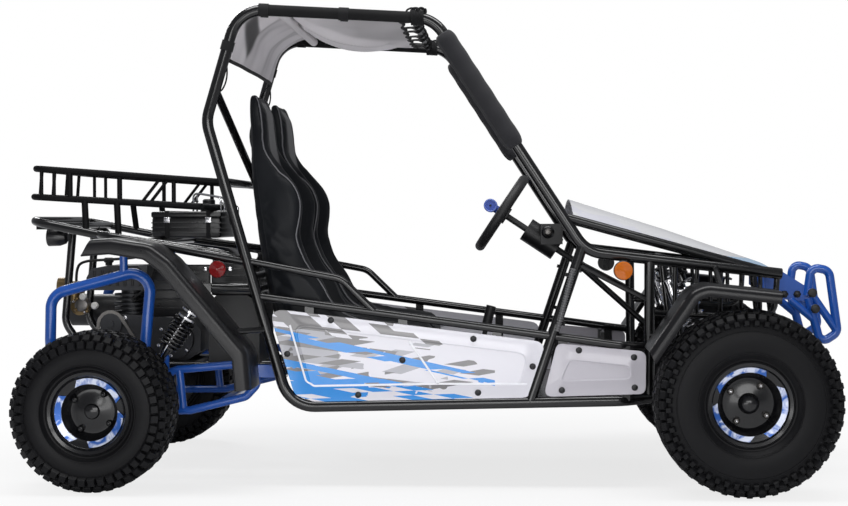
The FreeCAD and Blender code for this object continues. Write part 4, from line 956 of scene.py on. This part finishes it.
# Ignition switch: a round switch with a pressed ring and a metal key barrel, set in the right face
# of the moulded dash.
joined("ignition_switch", [
    headed(domed("switch_ring", 0.019, 0.010, 28), at(1206, 101, 676), (0, -1, 0), gloss_plastic),
    headed(domed("switch_knob", 0.012, 0.020, 24), at(1206, 99, 676), (0, -1, 0), oiled_steel)],
    gloss_plastic)

# Spring units: a coil spring round an oil damper with a polished rod and a rubber-bushed eye at
# each end. The rear ones are black with two chromed preload rings, the front ones chromed with a
# gas reservoir beside them.
spring_black = finish("spring_black", (0.006, 0.006, 0.007), rough=0.2, coat=0.4, bump=0.1)
chrome = finish("chrome", (0.72, 0.72, 0.74), rough=0.1, metal=1.0, grain=300.0, bump=0.05, shift=0.05)
rubber = finish("rubber", (0.01, 0.01, 0.01), rough=0.6, grain=700.0, bump=0.3)
eye_ring = lathed("eye", [(0.013, -0.012), (0.0145, -0.010), (0.0145, 0.010), (0.013, 0.012)])
bush = lathed("bush", [(0.009, -0.014), (0.009, 0.014)])
eye_bolt = domed("eye_bolt", 0.0075, 0.008, 6)
for end, top, foot, r, wire, turns, coil_start in (
        ("rear", (258, 300, 520), (135, 300, 332), 0.026, 0.0042, 7.5, 0.096),
        ("front", (1545, 262, 596), (1664, 330, 236), 0.0225, 0.0038, 13.0, 0.040)):
    for label, side in both:
        a, b = [at(x, side * y, z) for x, y, z in (top, foot)]
        d = (b - a).normalized()
        size = (b - a).length
        coil_metal = chrome if end == "front" else spring_black
        meshes = [headed(lathed("turned_part", profile), a, d, metal) for metal, profile in (
            (spring_black, [(0.012, size * 0.42), (0.0145, size * 0.43), (0.0145, size - 0.03), (0.010, size - 0.012)]),
            (spring_black, [(0.010, 0.010), (0.013, 0.028), (r, 0.031), (r, 0.036), (0.014, 0.038), (0.0135, 0.060),
                            (0.006, 0.062)]),
            (coil_metal, [(0.014, size - 0.046), (r, size - 0.044), (r, size - 0.039), (0.014, size - 0.036)]))]
        meshes.append(headed(lathed("rod", [(0.0052, 0.02), (0.0052, size * 0.5)], 16), a, d, chrome))
        if end == "rear":
            for z in (0.064, 0.084):
                profile = [(0.019, z), (0.0275, z + 0.001), (0.0275, z + 0.0065), (0.019, z + 0.0075)]
                preload = lathed("preload", profile)
                meshes.append(headed(preload, a, d, chrome))
            near = Vector((0, side * 0.0275, 0))
            meshes.append(swept([a + near + d * 0.088, b + near - d * 0.012], 0.0024, chrome))
        else:
            off = Vector((-0.036, side * 0.004, 0.0))
            gas = lathed("gas", [(0.012, 0.05), (0.0165, 0.053), (0.0165, 0.062), (0.0155, 0.064), (0.0155, 0.142),
                                 (0.0165, 0.144), (0.0165, 0.152), (0.009, 0.158)])
            meshes.append(headed(gas, a + off, d, chrome))
            for z in (0.07, 0.13):
                meshes.append(swept([a + off + d * z, a + d * z], 0.007, spring_black))
        coil = helix(a + d * coil_start, a + d * (size - 0.046), r - wire, turns)
        meshes.append(swept(coil, wire, coil_metal))
        out = Vector((0, side, 0))
        for place in (a, b):
            meshes += [headed(eye_ring, place, (0, 1, 0), spring_black), headed(bush, place, (0, 1, 0), rubber),
                       headed(eye_bolt, place + out * 0.014, out, bright_steel)]
        unit = joined("spring_" + end + "_" + label, meshes, spring_black)
        if end == "rear" and side < 0:
            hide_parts("shocks")


# Mudguards: moulded black plastic with a round shoulder, a skirt on the outer side and a rolled
# edge, bolted to the cage stays.
def moulded(name, route, y_in, y_out, skirt):
    """A guard moulded along a line of (x, z) points."""
    route = rounded(route, 60.0, False)
    wide = abs(y_out - y_in)
    side = math.copysign(1, y_out)
    outer = [(0, -6), (0, -1), (2, 0), (wide * 0.35, 1.2), (wide * 0.65, 1.2)]
    inner = [(3.2, -6), (3.2, -3), (wide * 0.5, -2.2)]
    bend, wall = 20.0, 3.2
    for k in range(8):
        q = math.radians(90 * k / 7)
        for line, r in ((outer, bend), (inner, bend - wall)):
            line.append((wide - bend - 1 + r * math.sin(q), r * math.cos(q) - bend))
    outer += [(wide, 3 - skirt), (wide - 0.8, -skirt)]
    inner += [(wide - 3.4, 3 - skirt), (wide - 2.8, -skirt)]
    section = outer + inner[::-1]
    rings = []
    lip = []
    for k, p in enumerate(route):
        run = heading(route, k)
        cut = 0.62 if k == 0 else 0.0
        up = Vector((-run.y, run.x)) + run * cut
        rings.append([at(p.x + up.x * h, y_in + side * across, p.y + up.y * h) for across, h in section])
        q = p - up * (skirt - 1)
        lip.append(at(q.x, y_out - side * 1.6, q.y))
    return [hull(name, rings, guard_plastic), swept(lip, 0.0026, guard_plastic)]


rear_line = [(8, 663), (62, 667), (166, 651), (218, 612), (419, 372), (427, 275)]
front_line = [(1450, 378), (1556, 535), (1596, 549), (1785, 529)]
guard_bolt = domed("guard_bolt", 0.008, 0.005, 18)
for label, side in both:
    meshes = moulded("rear_guard", rear_line, side * 410, side * 570, 40.0)
    meshes += heads(guard_bolt, [(110, side * 470, 659), (290, side * 470, 518)], (0, 0, 1), screw_black)
    guard = joined("mudguard_rear_" + label, meshes, guard_plastic, smooth=0.5)
    meshes = moulded("front_guard", front_line, side * 402, side * 575, 30.0)
    joined("mudguard_front_" + label, meshes, guard_plastic, smooth=0.5)
    if side < 0:
        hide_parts("mudguards")

# Lamps: ribbed lenses in black base rings, amber at the nose and red beside the seats on a
# small bar with bright bolts; black bullet lamps with red glass below the rear hoop.
amber = finish("amber", (0.62, 0.15, 0.006), rough=0.16, grain=90.0, bump=0.3, shift=0.2, coat=0.6)
red = finish("red", (0.2, 0.002, 0.003), rough=0.16, grain=90.0, bump=0.3, shift=0.4, coat=0.6)
lamp_bolt = domed("lamp_bolt", 0.0068, 0.007, 6)
shell = lathed("bullet", [(0.010, 0.0), (0.019, 0.006), (0.0245, 0.022), (0.0255, 0.045), (0.0258, 0.054),
                          (0.0235, 0.0565)], 36)
rear_glass = lathed("rear_glass", [(0.0225, 0.05), (0.0225, 0.0565), (0.017, 0.0575), (0.008, 0.0578)], 36)
for label, side in both:
    out = (0, side, 0)
    meshes = []
    for x, z, y, r, deep, glass in ((1394, 578, 398, 0.0258, 0.026, amber), (315, 582, 400, 0.0238, 0.024, red)):
        base = lathed("lamp_base", [(r * 0.96, 0), (r, 0.002), (r, deep * 0.42), (r * 0.93, deep * 0.5)], 40)
        ribs = [(r * 0.9, deep * 0.3), (r * 0.94, deep * 0.5), (r * 0.94, deep * 0.82), (r * 0.9, deep * 0.9)]
        for k in range(6):
            q = 0.84 - 0.14 * k
            ribs += [(r * q, deep * (0.965 - 0.03 * q)), (r * (q - 0.05), deep * (0.93 - 0.03 * q))]
        place = at(x, side * y, z)
        meshes += [headed(base, place, out, gloss_plastic), headed(lathed("lens", ribs, 40), place, out, glass)]
    meshes += heads(lamp_bolt, [(282, side * 403, 582), (348, side * 403, 582)], out, bright_steel)
    meshes.append(swept([at(275, side * 401, 582), at(355, side * 401, 582)], 0.004, gloss_plastic))
    for mesh, material in ((shell, gloss_plastic), (rear_glass, red)):
        meshes.append(headed(mesh, at(-135, side * 240, 667), (-1, 0, 0), material))
    lamps = joined("lamps_" + label, meshes, gloss_plastic, smooth=0.5)
    if side < 0:
        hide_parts("side_lamps", "tail_lamps", "rear_lamps")

# Front guard fittings: moulded black plugs pushed in the ends of its cross tubes, and hexagon bolts
# through its bracket plates.
plug = domed("tube_plug", 0.0128, 0.004, 24)
plate_bolt = domed("plate_bolt", 0.011, 0.007, 6)
meshes = []
for side in (-1, 1):
    out = (0, side, 0)
    meshes += heads(plug, [(1930, side * 171.5, 509), (1938, side * 171.5, 465)], out, black_plastic)
    meshes += heads(plate_bolt, [(1856, side * 154, 504.5), (1891, side * 154, 504.5)], out, screw_black)
joined("front_guard_plugs", meshes, black_plastic)

# Wiring conduit: ribbed grey plastic tube along the outer face of each cowl pillar, held by two
# webbing bands.
conduit_grey = finish("conduit_grey", (0.13, 0.13, 0.135), rough=0.3, grain=500.0, bump=0.2)
for label, side in both:
    a, b = at(1262, side * 421, 584), at(1219, side * 421, 417)
    d = (b - a).normalized()
    ribs = 26
    step = (b - a).length / ribs
    profile = []
    for k in range(ribs):
        profile += [(r, (k + t) * step) for r, t in ((0.0052, 0), (0.0075, 0.2), (0.0075, 0.6), (0.0052, 0.8))]
    meshes = [headed(lathed("conduit", profile, 16), a, d, conduit_grey)]
    for t in (0.12, 0.86):
        clip = a.lerp(b, t) - Vector((0, side * 0.018, 0))
        meshes.append(swept([clip - d * 0.005, clip + d * 0.005], 0.0165, webbing, 24))
    joined("pillar_conduit_" + label, meshes, spring_black)


# Carrier box: moulded black box on the rack with ledges along its sides, a lid held by two
# straps, a breather cap and a thin bright wire frame round it.
def boxed(low, high, soft, material):
    """A box with rounded edges between two corners in mm."""
    a, b = at(*low), at(*high)
    form = bmesh.new()
    bmesh.ops.create_cube(form, size=1.0)
    for v in form.verts:
        v.co = Vector([(a[i] + b[i]) / 2 + v.co[i] * abs(b[i] - a[i]) for i in range(3)])
    bmesh.ops.bevel(form, geom=form.edges[:], offset=soft / 1000, segments=3, affect="EDGES", profile=0.5)
    return meshed(form, "box", material)


meshes = [boxed((80, -148, 663), (278, 148, 724), 9.0, gloss_plastic),
          boxed((78, -150, 720), (280, 150, 738), 6.0, gloss_plastic)]
for z in (676, 690, 704):
    meshes.append(boxed((79, -150, z), (279, 150, z + 4), 1.6, gloss_plastic))
for x in (118, 236):
    meshes.append(boxed((x, -151, 662), (x + 12, 151, 740), 1.5, webbing))
    meshes.append(boxed((x - 3, -153, 706), (x + 15, -149, 722), 1.5, bright_steel))
for y in (-78, -22):
    hoop = rounded([(186, 739), (186, 792), (266, 778), (266, 739)], 14.0, False)
    meshes.append(swept([at(p.x, y, p.y) for p in hoop], 0.0028, chrome))
for x, z in ((188, 768), (264, 762)):
    meshes.append(swept([at(x, -78, z), at(x, -22, z)], 0.0028, chrome))
breather = lathed("breather", [(0.024, 0), (0.024, 0.012), (0.018, 0.015), (0.018, 0.034), (0.014, 0.038)], 32)
meshes.append(headed(breather, at(226, -50, 736), (0, 0, 1), black_plastic))
carrier = joined("carrier_box", meshes, gloss_plastic, smooth=0.5)
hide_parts("tank")

# Engine fittings: cover screws, cooling shroud ribs, a black filler cap, white hose unions, the
# air box's ribbed lid, the belt cover and the starter's end screws.
fitting_white = finish("fitting_white", (0.7, 0.69, 0.66), rough=0.35, grain=500.0, bump=0.2, shift=0.1)
cover_screw = domed("cover_screw", 0.006, 0.005, 6)
filler = lathed("filler", [(0.010, 0), (0.010, 0.008), (0.014, 0.010), (0.014, 0.020), (0.011, 0.023)], 24)
union = lathed("union", [(0.006, -0.012), (0.0085, -0.010), (0.0105, 0.0), (0.0105, 0.008), (0.007, 0.014)], 20)
plug_cap = lathed("plug_cap", [(0.007, -0.01), (0.009, 0.0), (0.009, 0.022), (0.006, 0.026)], 20)
jet_ring = lathed("jet_ring", [(0.014, -0.002), (0.0185, 0.0), (0.0185, 0.005), (0.013, 0.007)])
right, up = (0, -1, 0), (0, 0, 1)
meshes = []
for k in range(6):
    q = math.radians(60 * k + 20)
    for cx, y, r in ((135, -112, 47), (120, 110, 50)):
        spot = (cx + r * math.cos(q), y, 372 + r * math.sin(q))
        meshes += heads(cover_screw, [spot], (0, math.copysign(1, y), 0), bright_steel)
for mesh, y, way, material, spots in (
        (domed("case_screw", 0.0065, 0.006, 6), -85, right, bright_steel,
         ((-66, 425), (-66, 345), (-10, 322), (60, 322), (60, 430), (-10, 433))),
        (domed("starter_screw", 0.0042, 0.004, 6), -93, right, bright_steel, ((-160, 480), (-128, 450))),
        (domed("jet", 0.0065, 0.010, 6), -91, right, zinc_bronze, ((-154, 456), (-121, 452), (-150, 488), (-180, 520))),
        (filler, -40, up, black_plastic, ((-70, 582),)), (plug_cap, -50, right, rubber, ((12, 486),)),
        (union, -96, right, fitting_white, ((-131, 494),)), (union, -92, right, fitting_white, ((-98, 468),)),
        (jet_ring, -92, right, oiled_steel, ((-138, 469),))):
    meshes += heads(mesh, [(x, y, z) for x, z in spots], way, material)
for low, high, soft, material in (((352, -366, 704), (364, -352, 748), 2.0, bright_steel),
                                  ((54, -98, 436), (238, -86, 586), 5.0, gloss_plastic),
                                  ((246, -133, 499), (372, 133, 592), 7.0, gloss_plastic)):
    meshes.append(boxed(low, high, soft, material))
for count, x, dx, y, z, dz, size, material in (
        (7, -104, 22, -91, 524, 0, (8, 5, 46), black_plastic),
        (4, 250, 0, -136, 514, 19, (118, 272, 5), gloss_plastic),
        (5, 72, 0, -101, 458, 26, (150, 5, 6), gloss_plastic)):
    for k in range(count):
        low = Vector((x + k * dx, y, z + k * dz))
        meshes.append(boxed(low, low + Vector(size), 1.5, material))
joined("engine_fittings", meshes, black_plastic, smooth=0.5)


# Cords: a rubber-covered spark lead and a fuel hose that run up to the carrier box, and the two
# hanging ends of the roof's hem cord, each tied back to its side tube.
def cable(name, points, wide, material):
    """A bent cable or hose along control points."""
    data = bpy.data.curves.new(name, "CURVE")
    data.dimensions = "3D"
    spline = data.splines.new("NURBS")
    spline.points.add(len(points) - 1)
    for spot, p in zip(spline.points, points):
        spot.co = (*at(*p), 1)
    spline.order_u = 3
    spline.use_endpoint_u = True
    spline.resolution_u = 12
    data.materials.append(material)
    thing = linked(name, data)
    bare = evaluated(thing)
    data.bevel_depth = wide / 2
    data.bevel_resolution = 4
    data.use_fill_caps = True
    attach(thing, "chassis")


cable("spark_lead", [(12, -74, 486), (14, -104, 488), (60, -118, 520), (84, -110, 590), (88, -100, 640),
                     (92, -96, 664)], 0.007, rubber)
cable("fuel_hose", [(100, -60, 664), (84, -60, 630), (30, -78, 606), (-60, -84, 600), (-140, -78, 596),
                    (-158, -72, 570), (-158, -70, 538)], 0.008, rubber)
for label, side in both:
    route = [(343, 382, 1138), (318, 378, 1118), (304, 392, 1072), (322, 402, 1052), (338, 402, 1078),
             (342, 398, 1112), (338, 392, 1134)]
    cable("hem_tie_" + label, [(x, side * y, z) for x, y, z in route], 0.0045, cord_black)
